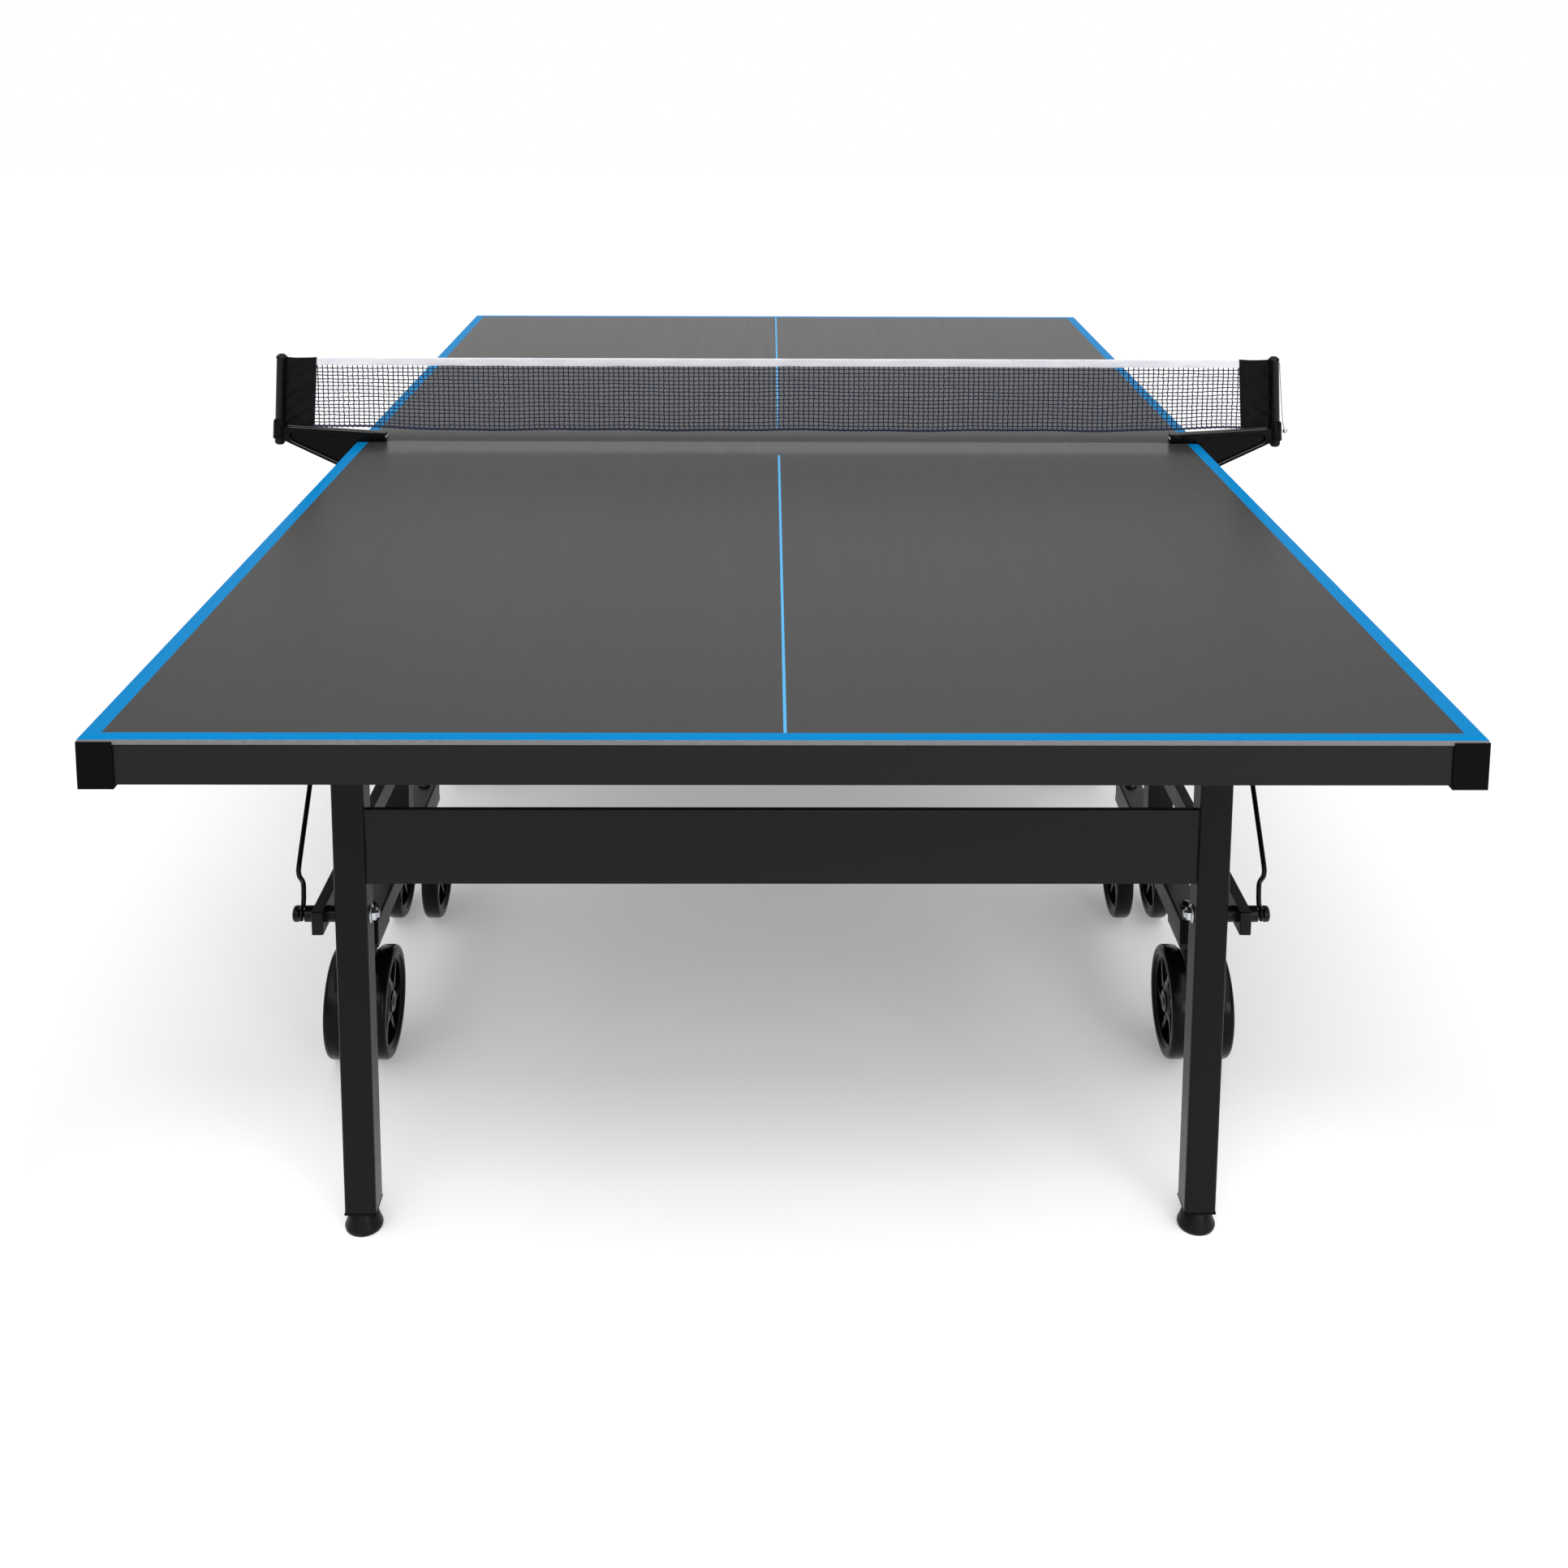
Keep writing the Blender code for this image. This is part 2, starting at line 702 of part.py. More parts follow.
def side_frame(half, word, side):
    """A rail with its upright, and the pins on which the top and the link bar turn."""
    n = half.node
    r, w = TUBE_ROUNDING, TUBE_WALL
    x = xs(side, UPRIGHT_X - TUBE / 2, UPRIGHT_X + TUBE / 2)
    outer = rounded_box(x, (RAIL_LOW, RAIL_HIGH), r)
    bore = rounded_box((x[0] + w, x[1] - w), (RAIL_LOW + w, RAIL_HIGH - w), r - w, 1)
    ends = half.ys(RAIL_NEAR, RAIL_FAR)
    rail = profile(n("side_frame", word), "XZ", [outer, bore], *ends)
    y_up = half.y(LINK_PIVOT[0])
    upright = upright_tube(
        n("upright", word), side * UPRIGHT_X, y_up, (RAIL_HIGH - w / 2, UPRIGHT_TOP)
    )
    inner, outer_edge = half.y(LINK_PIVOT[0] + 0.015), half.y(LINK_PIVOT[0] - 0.015)
    root = [(inner, 0.600), (outer_edge, 0.600), (outer_edge, 0.675)]
    head_shape = hull(half.round(TOP_PIVOT, LUG_R), root)
    top, link = half.at(TOP_PIVOT)[1:], half.at(LINK_PIVOT)[1:]
    join(
        rail,
        upright,
        profile(n("head", word), "YZ", [head_shape], *xs(side, *HEAD_PLATE)),
        rod(n("top_pin", word), xs(side, *TOP_PIN), *top, PIN_R),
        rod(n("top_pin_head", word), xs(side, *TOP_PIN_HEAD), *top, TOP_NUT_R),
        rod(n("top_pin_nut", word), xs(side, *TOP_PIN_NUT), *top, TOP_NUT_R),
        rod(n("link_pin", word), xs(side, *LINK_PIN), *link, PIN_R),
        rod(n("link_pin_head", word), xs(side, *LINK_PIN_HEAD), *link, LINK_NUT_R),
        rod(n("link_spacer", word), xs(side, *LINK_SPACER), *link, LINK_NUT_R),
    )
    finish(rail, "powder_coat", n("trolley"))


def wheel_gear(half, word, side):
    """Two brackets under the rail, each with a pair of wheels on an axle."""
    n = half.node
    for place, inset in zip(("outer", "inner"), WHEEL_INSETS):
        y = half.y(inset)
        top = RAIL_LOW - GAP
        shape = hull(circle(y, WHEEL_R, 0.020), [(y - 0.032, top), (y + 0.032, top)])
        hole = circle(y, WHEEL_R, hole_r(AXLE_R))
        web_x = xs(side, WHEEL_PAIR_X - 0.0145, WHEEL_PAIR_X + 0.0145)
        web = profile(n("wheel_bracket", place, word), "YZ", [shape, hole], *web_x)
        plate = block(
            n("bracket_plate", place, word),
            xs(side, 0.5835, WHEEL_PAIR_X + 0.010),
            (y - 0.040, y + 0.040),
            (top - 0.008, top - GAP),
        )
        finish(join(web, plate), "black_plastic", n("trolley"))
        half_width, near, r = WHEEL_WIDTH / 2, WHEEL_SPREAD, WHEEL_R
        tread = [
            (r - 0.006, near + half_width),
            (r, near + half_width - 0.006),
            (r, near - half_width + 0.006),
            (r - 0.006, near - half_width),
        ]
        upper = [(0, near + half_width), *tread, (AXLE_R, near - half_width)]
        outline = upper + [(radius, -height) for radius, height in reversed(upper)]
        name = n("wheel_pair", place, word)
        pair = turned_along_x(name, outline, side * WHEEL_PAIR_X, y, WHEEL_R, WHEEL_STEPS)
        finish(pair, "black_plastic", n("wheels", place, word))


def trolley(half):
    n = half.node
    for word, side in SIDES:
        side_frame(half, word, side)
        wheel_gear(half, word, side)
        link_bar(half, word, side)
        lock_rod(half, word, side)
    y, z = half.y(LINK_PIVOT[0]), RAIL_LOW + TUBE / 2
    r, h, w = TUBE_ROUNDING, TUBE / 2, TUBE / 2 - TUBE_WALL
    outer = rounded_box((y - h, y + h), (z - h, z + h), r)
    bore = rounded_box((y - w, y + w), (z - w, z + w), r - TUBE_WALL, 1)
    end = UPRIGHT_X - TUBE / 2 - GAP
    finish(profile(n("cross_tube"), "YZ", [outer, bore], -end, end), "powder_coat", n("trolley"))


# ---- the net set ----


def along_post(side, distance):
    """A point on a net post's axis, this far above the axis's foot."""
    foot_x, foot_z = POST_FOOT
    lean_x, lean_z = POST_HEAD[0] - foot_x, POST_HEAD[1] - foot_z
    share = distance / hypot(lean_x, lean_z)
    return Vector((side * (foot_x + share * lean_x), 0.0, foot_z + share * lean_z))


def turned_on_post(name, outline, side, distance, steps=ROUND_STEPS):
    """A turned solid on a net post's leaning axis."""
    obj = turned(name, outline, steps)
    lean = atan2(POST_HEAD[0] - POST_FOOT[0], POST_HEAD[1] - POST_FOOT[1])
    obj.rotation_euler = Euler((0, side * lean, 0))
    obj.location = along_post(side, distance)
    return obj


def net_bracket(word, side):
    """A jaw on the top, a web with a recess beside it, and the socket of the post."""
    name = f"net_bracket_{word}"
    w = ARM_HALF_WIDTH
    rest = HEIGHT + GAP
    outline = [
        (0.7105, rest),
        (0.7105, 0.7770),
        (0.8850, 0.7885),
        (0.9010, 0.7885),
        (0.9010, 0.7720),
        (0.8893, 0.7720),
        (0.8893, 0.7598),
        (0.7645, 0.7000),
        (0.7645, rest),
    ]
    bracket = profile(name, "XZ", [[(side * x, z) for x, z in outline]], -w, w)
    web = [(0.7730, 0.7115), (0.7730, 0.7700), (0.8850, 0.7770), (0.8850, 0.7620)]
    for word_of_face, front in (("front", -1), ("back", 1)):
        recess = profile(
            f"{name}_{word_of_face}_recess",
            "XZ",
            [[(side * x, z) for x, z in web]],
            *ordered(front * 0.002, front * 0.02),
        )
        cut(bracket, recess)
    low, high = SOCKET
    socket = turned_on_post(
        f"{name}_socket",
        [(0, high), (0.0115, high), (SOCKET_R, high - 0.004), (SOCKET_R, low), (0, low)],
        side,
        0.0,
    )
    drill = turned_on_post(
        f"{name}_drill",
        [(0, 0.2), (hole_r(PIN_R), 0.2), (hole_r(PIN_R), -0.2), (0, -0.2)],
        side,
        0.0,
    )
    join(bracket, socket)
    cut(bracket, drill)
    finish(bracket, "black_plastic", "net_set")


def net_post(word, side):
    low, high = SOCKET
    top = hypot(POST_HEAD[0] - POST_FOOT[0], POST_HEAD[1] - POST_FOOT[1])
    r = POST_R
    outline = [
        (0, top),
        (r * 0.62, top - 0.0008),
        (r * 0.92, top - 0.0030),
        (r + 0.0008, top - 0.0050),
        (r + 0.0008, top - 0.0085),
        (r, top - 0.0095),
        (r, high + GAP),
        (PIN_R, high + GAP),
        (PIN_R, low + 0.001),
        (0, low + 0.001),
    ]
    post = turned_on_post(f"net_post_{word}", outline, side, 0.0)
    finish(post, "black_plastic", "net_set")
    name = f"height_knob_{word}"
    grip = 0.0125
    outline = [
        (0, 0.0055),
        (grip, 0.0055),
        (grip, 0.0015),
        (0.0092, 0.0008),
        (0.0092, -0.0060),
        (0.0076, -0.0095),
        (0.0042, -0.0112),
        (0, -0.0115),
    ]
    knob = turned_on_post(name, outline, side, 0.0)
    finish(knob, "black_plastic", name)


def tension_cord():
    """The cord down the outer side of the right post, with a metal ball on its end."""
    top = hypot(POST_HEAD[0] - POST_FOOT[0], POST_HEAD[1] - POST_FOOT[1])
    route = (  # (distance up the post, distance out from its axis)
        (top - 0.011, POST_R + 0.0015),
        (top - 0.060, POST_R + 0.0030),
        (SOCKET[1] + 0.004, SOCKET_R + 0.0025),
        (0.022, SOCKET_R + 0.0050),
    )
    outward = Vector((1, 0, 0))
    run = [along_post(1, height) + outward * out for height, out in route]
    cord = wire("tension_cord", run, 0.0010)
    centre = along_post(1, 0.018) + outward * (SOCKET_R + 0.0065)
    ball = turned("tension_ball", ball_outline(0.0045), 12)
    ball.location = centre
    finish(join(cord, ball), "zinc", "net_set")


def ball_outline(r, steps=6):
    turns = [pi / 2 - pi * i / steps for i in range(steps + 1)]
    return [(max(r * cos(a), 0.0), r * sin(a)) for a in turns]


def net():
    """The netting with its band and sleeves, as one thin sheet that dips a little in the middle."""
    right = [
        (0.700, NET_LOW),
        (NET_END, NET_LOW + 0.0105),
        (NET_END - 0.003, NET_TOP),
    ]
    left = [(-x, z) for x, z in reversed(right)]
    t = NET_THICK / 2
    finish(profile("net", "XZ", [right + left], -t, t), "netting", "net_set")


def net_set():
    axis_empty("net_set", (0, 0, HEIGHT), "near_trolley")
    for word, side in SIDES:
        axis_empty(f"height_knob_{word}", along_post(side, 0), "net_set")
        net_bracket(word, side)
        net_post(word, side)
    net()
    tension_cord()


def build():
    fresh_scene()
    for half in (Half("near", -1), Half("far", 1)):
        body_axes(half)
        tabletop(half)
        apron_frame(half)
        corner_caps(half)
        leg_frame(half)
        trolley(half)
    net_set()


build()
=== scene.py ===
"""Looks of a folding outdoor table tennis table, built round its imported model.

Metres, +Z up, origin on the floor under the middle of the net, +Y along the table. Places come
from the boxes of the CAD nodes. Pieces are made as points and faces in the row frame.
"""

from math import atan2, cos, hypot, pi, radians, sin

import bmesh
import bpy
from mathutils import Matrix, Vector


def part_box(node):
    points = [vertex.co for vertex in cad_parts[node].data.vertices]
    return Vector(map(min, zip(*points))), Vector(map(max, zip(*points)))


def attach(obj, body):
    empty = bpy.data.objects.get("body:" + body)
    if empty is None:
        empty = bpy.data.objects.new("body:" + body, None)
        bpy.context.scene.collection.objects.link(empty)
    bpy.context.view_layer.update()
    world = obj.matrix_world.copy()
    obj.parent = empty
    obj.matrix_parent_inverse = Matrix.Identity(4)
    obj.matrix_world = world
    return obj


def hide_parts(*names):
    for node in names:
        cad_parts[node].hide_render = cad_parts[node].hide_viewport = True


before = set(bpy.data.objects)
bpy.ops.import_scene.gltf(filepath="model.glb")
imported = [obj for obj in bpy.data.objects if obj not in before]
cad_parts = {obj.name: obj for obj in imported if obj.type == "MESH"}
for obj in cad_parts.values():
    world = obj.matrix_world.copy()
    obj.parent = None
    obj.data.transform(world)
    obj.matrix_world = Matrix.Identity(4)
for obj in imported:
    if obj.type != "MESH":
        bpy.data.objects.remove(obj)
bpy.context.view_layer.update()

HALVES = (("near", -1), ("far", 1))
SIDES = (("left", -1), ("right", 1))
PLACES = ("outer", "inner")


def middle(node):
    low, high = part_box(node)
    return (low + high) / 2


# ---- camera, light and floor ----

CAMERA_PLACE = (-0.0203, -3.252, 1.542)
CAMERA_TURN = (90 - 8.54, -0.25, -0.47)  # degrees: it looks 8.54 down
CAMERA_LENS = 42.1
CAMERA_SHIFT = -0.32
SOFTBOX_PLACE, SOFTBOX_AIM = (1.9, -3.9, 1.1), (0.2, -1.2, 0.5)
SOFTBOX_SIZE, SOFTBOX_POWER = 1.0, 22
FLOOR_REACH = 14.0
# painted light and shade on the floor: the pale tone under the near end lightens the table's shadow
# there, and the darker tone elsewhere widens the shadow beside the table
FLOOR_PAINTED_LIGHT, FLOOR_PAINTED_SHADE = 0.93, 0.67
FLOOR_GLOW = 0.27


def math_node(tree, operation, a, b=0.0):
    node = tree.nodes.new("ShaderNodeMath")
    node.operation = operation
    for socket, value in zip(node.inputs, (a, b)):
        if isinstance(value, (int, float)):
            socket.default_value = value
        else:
            tree.links.new(value, socket)
    return node.outputs[0]


def ramp_node(tree, source, low, high, from_low, from_high):
    """From low to high, while the source goes from from_low to from_high."""
    node = tree.nodes.new("ShaderNodeMapRange")
    values = (from_low, from_high, low, high)
    for socket, value in zip(("From Min", "From Max", "To Min", "To Max"), values):
        node.inputs[socket].default_value = value
    tree.links.new(source, node.inputs["Value"])
    return node.outputs["Result"]


def camera():
    """The view along the table from above the near end."""
    data = bpy.data.cameras.new("camera")
    obj = bpy.data.objects.new("camera", data)
    bpy.context.scene.collection.objects.link(obj)
    bpy.context.scene.camera = obj
    obj.location = CAMERA_PLACE
    obj.rotation_euler = [radians(degrees) for degrees in CAMERA_TURN]
    data.lens = CAMERA_LENS
    data.shift_y = CAMERA_SHIFT
    data.clip_start, data.clip_end = 0.05, 60


def softbox():
    """One square light before the near end, to the right."""
    data = bpy.data.lights.new("front_softbox", "AREA")
    data.shape = "RECTANGLE"
    data.size, data.size_y = SOFTBOX_SIZE, SOFTBOX_SIZE
    data.energy = SOFTBOX_POWER
    obj = bpy.data.objects.new("front_softbox", data)
    bpy.context.scene.collection.objects.link(obj)
    obj.location = SOFTBOX_PLACE
    ahead = Vector(SOFTBOX_AIM) - Vector(SOFTBOX_PLACE)
    obj.rotation_euler = ahead.to_track_quat("-Z", "Y").to_euler()


def surroundings():
    """White to the camera. As a light it is brightest high up in front and dimmer at the sides."""
    world = bpy.data.worlds.new("studio")
    bpy.context.scene.world = world
    world.use_nodes = True
    tree = world.node_tree
    nodes, links = tree.nodes, tree.links
    nodes.clear()
    place = nodes.new("ShaderNodeTexCoord")
    way = nodes.new("ShaderNodeSeparateXYZ")
    links.new(place.outputs["Generated"], way.inputs[0])
    across, along, up = way.outputs
    # in front: brightest from 40 to 60 degrees up, and overhead as dim as low down
    key = ramp_node(tree, up, 1.0, 3.9, 0.40, 0.66)
    front = math_node(tree, "MULTIPLY", key, ramp_node(tree, up, 1.0, 0.25, 0.88, 0.97))
    # behind: nearly even
    back = ramp_node(tree, up, 0.95, 1.30, 0.20, 0.85)
    share = ramp_node(tree, along, 0.0, 1.0, -0.2, 0.5)
    change = math_node(tree, "MULTIPLY", share, math_node(tree, "SUBTRACT", back, front))
    both = math_node(tree, "ADD", front, change)
    aside = ramp_node(tree, math_node(tree, "ABSOLUTE", across), 1.0, 0.30, 0.15, 0.65)
    brightness = math_node(tree, "MULTIPLY", both, aside)
    around = nodes.new("ShaderNodeBackground")
    around.inputs["Color"].default_value = (1, 1, 1, 1)
    links.new(brightness, around.inputs["Strength"])
    seen = nodes.new("ShaderNodeBackground")
    seen.inputs["Color"].default_value = (1, 1, 1, 1)
    seen.inputs["Strength"].default_value = 1.0
    path = nodes.new("ShaderNodeLightPath")
    mix = nodes.new("ShaderNodeMixShader")
    links.new(path.outputs["Is Camera Ray"], mix.inputs[0])
    links.new(around.outputs[0], mix.inputs[1])
    links.new(seen.outputs[0], mix.inputs[2])
    out = nodes.new("ShaderNodeOutputWorld")
    links.new(mix.outputs[0], out.inputs["Surface"])
    bpy.context.scene.view_settings.view_transform = "Standard"


def floor():
    """A large pale floor. Its paint is palest under the near end, painted light that lightens the
    table's shadow there, and darker elsewhere, painted shade that widens the shadow beside the
    table.
    """
    reach = FLOOR_REACH
    mesh = bpy.data.meshes.new("floor")
    corners = [(-reach, -reach, 0), (reach, -reach, 0), (reach, reach, 0), (-reach, reach, 0)]
    mesh.from_pydata(corners, [], [(0, 1, 2, 3)])
    ground = bpy.data.objects.new("floor", mesh)
    bpy.context.scene.collection.objects.link(ground)
    paint = Finish("floor_painted_light_and_shade", (FLOOR_PAINTED_LIGHT,) * 3, 0.8, specular=0.0)
    x, y, _ = paint.axes()
    # painted light and shade: the mask is 1, for the pale paint, under the near end and just before
    # it, and falls to 0, for the darker paint, beside, behind and far off
    painted_light_across = paint.spread(paint.math("ABSOLUTE", x), 1, 0, 0.72, 1.0)
    near = paint.math("MULTIPLY", painted_light_across, paint.spread(y, 1, 0, -1.03, -0.77))
    near = paint.math("MULTIPLY", near, paint.spread(y, 0, 1, -1.75, -1.35))
    paint.colour(paint.mixed(near, (FLOOR_PAINTED_SHADE,) * 3, (FLOOR_PAINTED_LIGHT,) * 3))
    paint.put("Emission Color", (1.0, 1.0, 1.0, 1.0))
    paint.put("Emission Strength", FLOOR_GLOW)
    ground.data.materials.append(paint.material)


# ---- materials ----


class Finish:
    """A Principled material. Its patterns are laid out in metres in the row frame."""

    def __init__(self, name, colour, roughness, metallic=0.0, specular=0.5):
        self.material = bpy.data.materials.new(name)
        self.material.use_nodes = True
        self.tree = self.material.node_tree
        self.nodes, self.links = self.tree.nodes, self.tree.links
        self.shader = self.nodes["Principled BSDF"]
        self.put("Base Color", (*colour, 1.0))
        self.put("Roughness", roughness)
        self.put("Metallic", metallic)
        self.put("Specular IOR Level", specular)
        self.place = self.nodes.new("ShaderNodeTexCoord").outputs["Object"]
        self.material.diffuse_color = (*colour, 1.0)

    def put(self, socket, value):
        self.shader.inputs[socket].default_value = value

    def noise(self, scale, detail=2.0, stretch=(1, 1, 1)):
        """A noise pattern with about this many lumps a metre."""
        texture = self.nodes.new("ShaderNodeTexNoise")
        texture.inputs["Scale"].default_value = scale
        texture.inputs["Detail"].default_value = detail
        mapping = self.nodes.new("ShaderNodeMapping")
        mapping.inputs["Scale"].default_value = stretch
        self.links.new(self.place, mapping.inputs["Vector"])
        self.links.new(mapping.outputs["Vector"], texture.inputs["Vector"])
        return texture.outputs["Fac"]

    def math(self, operation, a, b=0.0):
        return math_node(self.tree, operation, a, b)

    def spread(self, fac, low, high, from_low=0.3, from_high=0.7):
        """The pattern's values, spread to the range from low to high."""
        return ramp_node(self.tree, fac, low, high, from_low, from_high)

    def mixed(self, fac, a, b):
        """A colour between a and b, either of which may be another node's colour."""
        node = self.nodes.new("ShaderNodeMix")
        node.data_type = "RGBA"
        self.links.new(fac, node.inputs["Factor"])
        for socket, colour in ((node.inputs[6], a), (node.inputs[7], b)):
            if isinstance(colour, tuple):
                socket.default_value = (*colour, 1.0)
            else:
                self.links.new(colour, socket)
        return node.outputs[2]

    def colour(self, source):
        self.links.new(source, self.shader.inputs["Base Color"])

    def speckle(self, pattern, dark, pale):
        """Colours from dark to pale, laid out by a pattern."""
        self.colour(self.mixed(self.spread(pattern, 0, 1), dark, pale))

    def rough(self, source):
        self.links.new(source, self.shader.inputs["Roughness"])

    def bump(self, height, distance, strength=1.0):
        node = self.nodes.new("ShaderNodeBump")
        node.inputs["Distance"].default_value = distance
        node.inputs["Strength"].default_value = strength
        self.links.new(height, node.inputs["Height"])
        self.links.new(node.outputs["Normal"], self.shader.inputs["Normal"])

    def axes(self):
        node = self.nodes.new("ShaderNodeSeparateXYZ")
        self.links.new(self.place, node.inputs[0])
        return node.outputs["X"], node.outputs["Y"], node.outputs["Z"]


def board_finish():
    """The playing surface: satin anthracite laminate with a fine grain."""
    paint = Finish("playing_surface", (0.030, 0.030, 0.031), 0.33, specular=0.085)
    grain = paint.noise(420, 3)
    cloud = paint.noise(1.6, 2)
    dark = paint.mixed(paint.spread(grain, 0, 1), (0.030,) * 3, (0.039,) * 3)
    paint.colour(paint.mixed(paint.spread(cloud, 0, 0.25), dark, (0.042,) * 3))
    paint.rough(paint.spread(paint.noise(90, 3, (1.0, 0.03, 1.0)), 0.325, 0.345))
    paint.bump(paint.noise(900, 2), 0.00002)
    return paint.material


def line_finish(name, colour):
    """Printed line paint over the laminate."""
    paint = Finish(name, colour, 0.40, specular=0.012)
    light = tuple(c * 1.06 for c in colour)
    paint.speckle(paint.noise(500, 3), colour, light)
    paint.bump(paint.noise(900, 2), 0.00003)
    return paint.material


def board_edge_finish():
    """The sawn edge of the board, a grey laminate with darker core lines."""
    paint = Finish("board_edge", (0.125, 0.123, 0.130), 0.55, specular=0.3)
    _, _, z = paint.axes()
    fine = paint.noise(700, 3, (0.2, 0.2, 2.0))
    paint.speckle(fine, (0.125, 0.123, 0.131), (0.185, 0.181, 0.190))
    layers = paint.math("SINE", paint.math("MULTIPLY", z, 6000.0))
    paint.bump(layers, 0.00005, 0.5)
    return paint.material


def powder_finish(name="powder_coat_black", painted_light_lift=0.0):
    """Black powder coat: a fine orange-peel grain, a little uneven."""
    # the lift pales every tone: on the copy for the apron and the cross panel it is painted light
    dark, pale, even = ((tone + painted_light_lift,) * 3 for tone in (0.0015, 0.0040, 0.0030))
    paint = Finish(name, even, 0.30, specular=0.13)
    grain = paint.noise(1100, 2)
    cloud = paint.noise(9, 3)
    tone = paint.mixed(paint.spread(grain, 0, 1), dark, pale)
    paint.colour(paint.mixed(paint.spread(cloud, 0, 0.5), tone, even))
    paint.rough(paint.spread(cloud, 0.27, 0.34))
    paint.bump(grain, 0.00008)
    return paint.material


def plastic_finish(name="moulded_black", roughness=0.26, specular=0.15, tone=0.0024):
    """Moulded black plastic, slightly textured."""
    base = (tone, tone, tone * 1.1)
    paint = Finish(name, base, roughness, specular=specular)
    grain = paint.noise(1500, 2)
    paint.rough(paint.spread(paint.noise(25, 3), roughness - 0.05, roughness + 0.06))
    light = (tone * 1.6, tone * 1.6, tone * 1.75)
    paint.speckle(grain, base, light)
    paint.bump(grain, 0.00003)
    return paint.material


def lip_painted_reflection_finish():
    """The turned lip of a wheel, a duller plastic whose grey tone is a painted reflection on the
    rim ring.
    """
    paint = Finish("wheel_lip_painted_reflection", (0.040, 0.038, 0.037), 0.42, specular=0.30)
    grain = paint.noise(900, 3)
    paint.speckle(grain, (0.030, 0.028, 0.027), (0.050, 0.047, 0.045))
    paint.bump(grain, 0.00004)
    return paint.material


def rubber_finish():
    """The black rubber of the feet."""
    paint = Finish("foot_rubber", (0.0040,) * 3, 0.38, specular=0.13)
    grain = paint.noise(1400, 3)
    paint.speckle(grain, (0.003,) * 3, (0.006,) * 3)
    paint.rough(paint.spread(paint.noise(60, 2), 0.32, 0.44))
    paint.bump(grain, 0.00005)
    return paint.material


def zinc_finish():
    """Bright zinc plating, a little blue and unevenly dull."""
    paint = Finish("zinc_plating", (0.56, 0.58, 0.62), 0.24, metallic=1.0)
    spots = paint.noise(900, 3)
    paint.speckle(spots, (0.46, 0.47, 0.50), (0.68, 0.70, 0.74))
    paint.rough(paint.spread(spots, 0.18, 0.36))
    paint.bump(spots, 0.00003)
    return paint.material


def thread_finish():
    """Twisted navy thread."""
    paint = Finish("net_thread", (0.014, 0.018, 0.045), 0.75, specular=0.25)
    twist = paint.noise(1600, 2)
    paint.speckle(twist, (0.009, 0.012, 0.032), (0.026, 0.031, 0.068))
    paint.bump(twist, 0.0002)
    return paint.material


def weave_height(paint, along, across, threads):
    """A plain weave's height: crossing waves with this many threads a metre."""
    wave = 2 * pi * threads
    one = paint.math("SINE", paint.math("MULTIPLY", along, wave))
    other = paint.math("SINE", paint.math("MULTIPLY", across, wave))
    return paint.math("MULTIPLY", one, other)


def band_finish():
    """The white woven band along the net's top."""
    paint = Finish("white_band", (0.86, 0.86, 0.90), 0.85, specular=0.2)
    x, _, z = paint.axes()
    weave = weave_height(paint, x, z, 900.0)
    soft = paint.noise(35, 3, (0.5, 1, 3))
    paint.speckle(soft, (0.82, 0.81, 0.89), (0.92, 0.92, 0.95))
    paint.bump(weave, 0.00025, 0.8)
    return paint.material


def sleeve_finish():
    """Black woven polyester, with a faint sheen on its folds."""
    paint = Finish("black_sleeve", (0.0025, 0.0025, 0.0032), 0.33, specular=0.10)
    x, _, z = paint.axes()
    weave = weave_height(paint, x, z, 1100.0)
    cloud = paint.noise(45, 3)
    paint.speckle(cloud, (0.0015, 0.0015, 0.0020), (0.0035, 0.0035, 0.0042))
    paint.put("Sheen Weight", 0.03)
    paint.bump(weave, 0.0002, 0.8)
    return paint.material


MATERIALS = {
    "board": board_finish(),
    "line": line_finish("line_blue", (0.0005, 0.195, 0.470)),
    "centre_line": line_finish("line_pale_blue", (0.095, 0.390, 0.700)),
    "board_edge": board_edge_finish(),
    "powder": powder_finish(),
    # a paler copy of the black powder coat: painted light that brightens the apron and the cross
    # panel
    "powder_painted_light": powder_finish("powder_coat_painted_light", 0.0065),
    "plastic": plastic_finish(),
    "cap": plastic_finish("cap_black", 0.45, 0.035, 0.0018),
    "gloss": plastic_finish("wheel_black", 0.20, 0.11, 0.0018),
    "arm": plastic_finish("bracket_black", 0.30, 0.07, 0.0018),
    # a paler, glossier copy of the bracket plastic: a painted highlight on the bracket's upper
    # edges
    "arm_painted_highlight": plastic_finish("bracket_painted_highlight", 0.14, 1.0, 0.0100),
    "post": plastic_finish("post_black", 0.28, 0.20, 0.0020),
    "bolt": plastic_finish("bolt_black", 0.10, 0.60, 0.0020),
    # the wheel lip's grey is a painted reflection of the light on the rim ring
    "lip": lip_painted_reflection_finish(),
    "rubber": rubber_finish(),
    "zinc": zinc_finish(),
    "thread": thread_finish(),
    "band": band_finish(),
    "sleeve": sleeve_finish(),
}


# ---- shapes ----


class Shape:
    """Points and faces of a piece in the making."""

    def __init__(self, points=(), faces=()):
        self.points = [Vector(p) for p in points]
        self.faces = [tuple(f) for f in faces]

    def add(self, other, matrix=None):
        matrix = matrix or Matrix()
        base = len(self.points)
        self.points += [matrix @ p for p in other.points]
        self.faces += [tuple(base + i for i in face) for face in other.faces]
        return self

    def moved(self, matrix):
        return Shape().add(self, matrix)


def at(x, y, z):
    return Matrix.Translation((x, y, z))


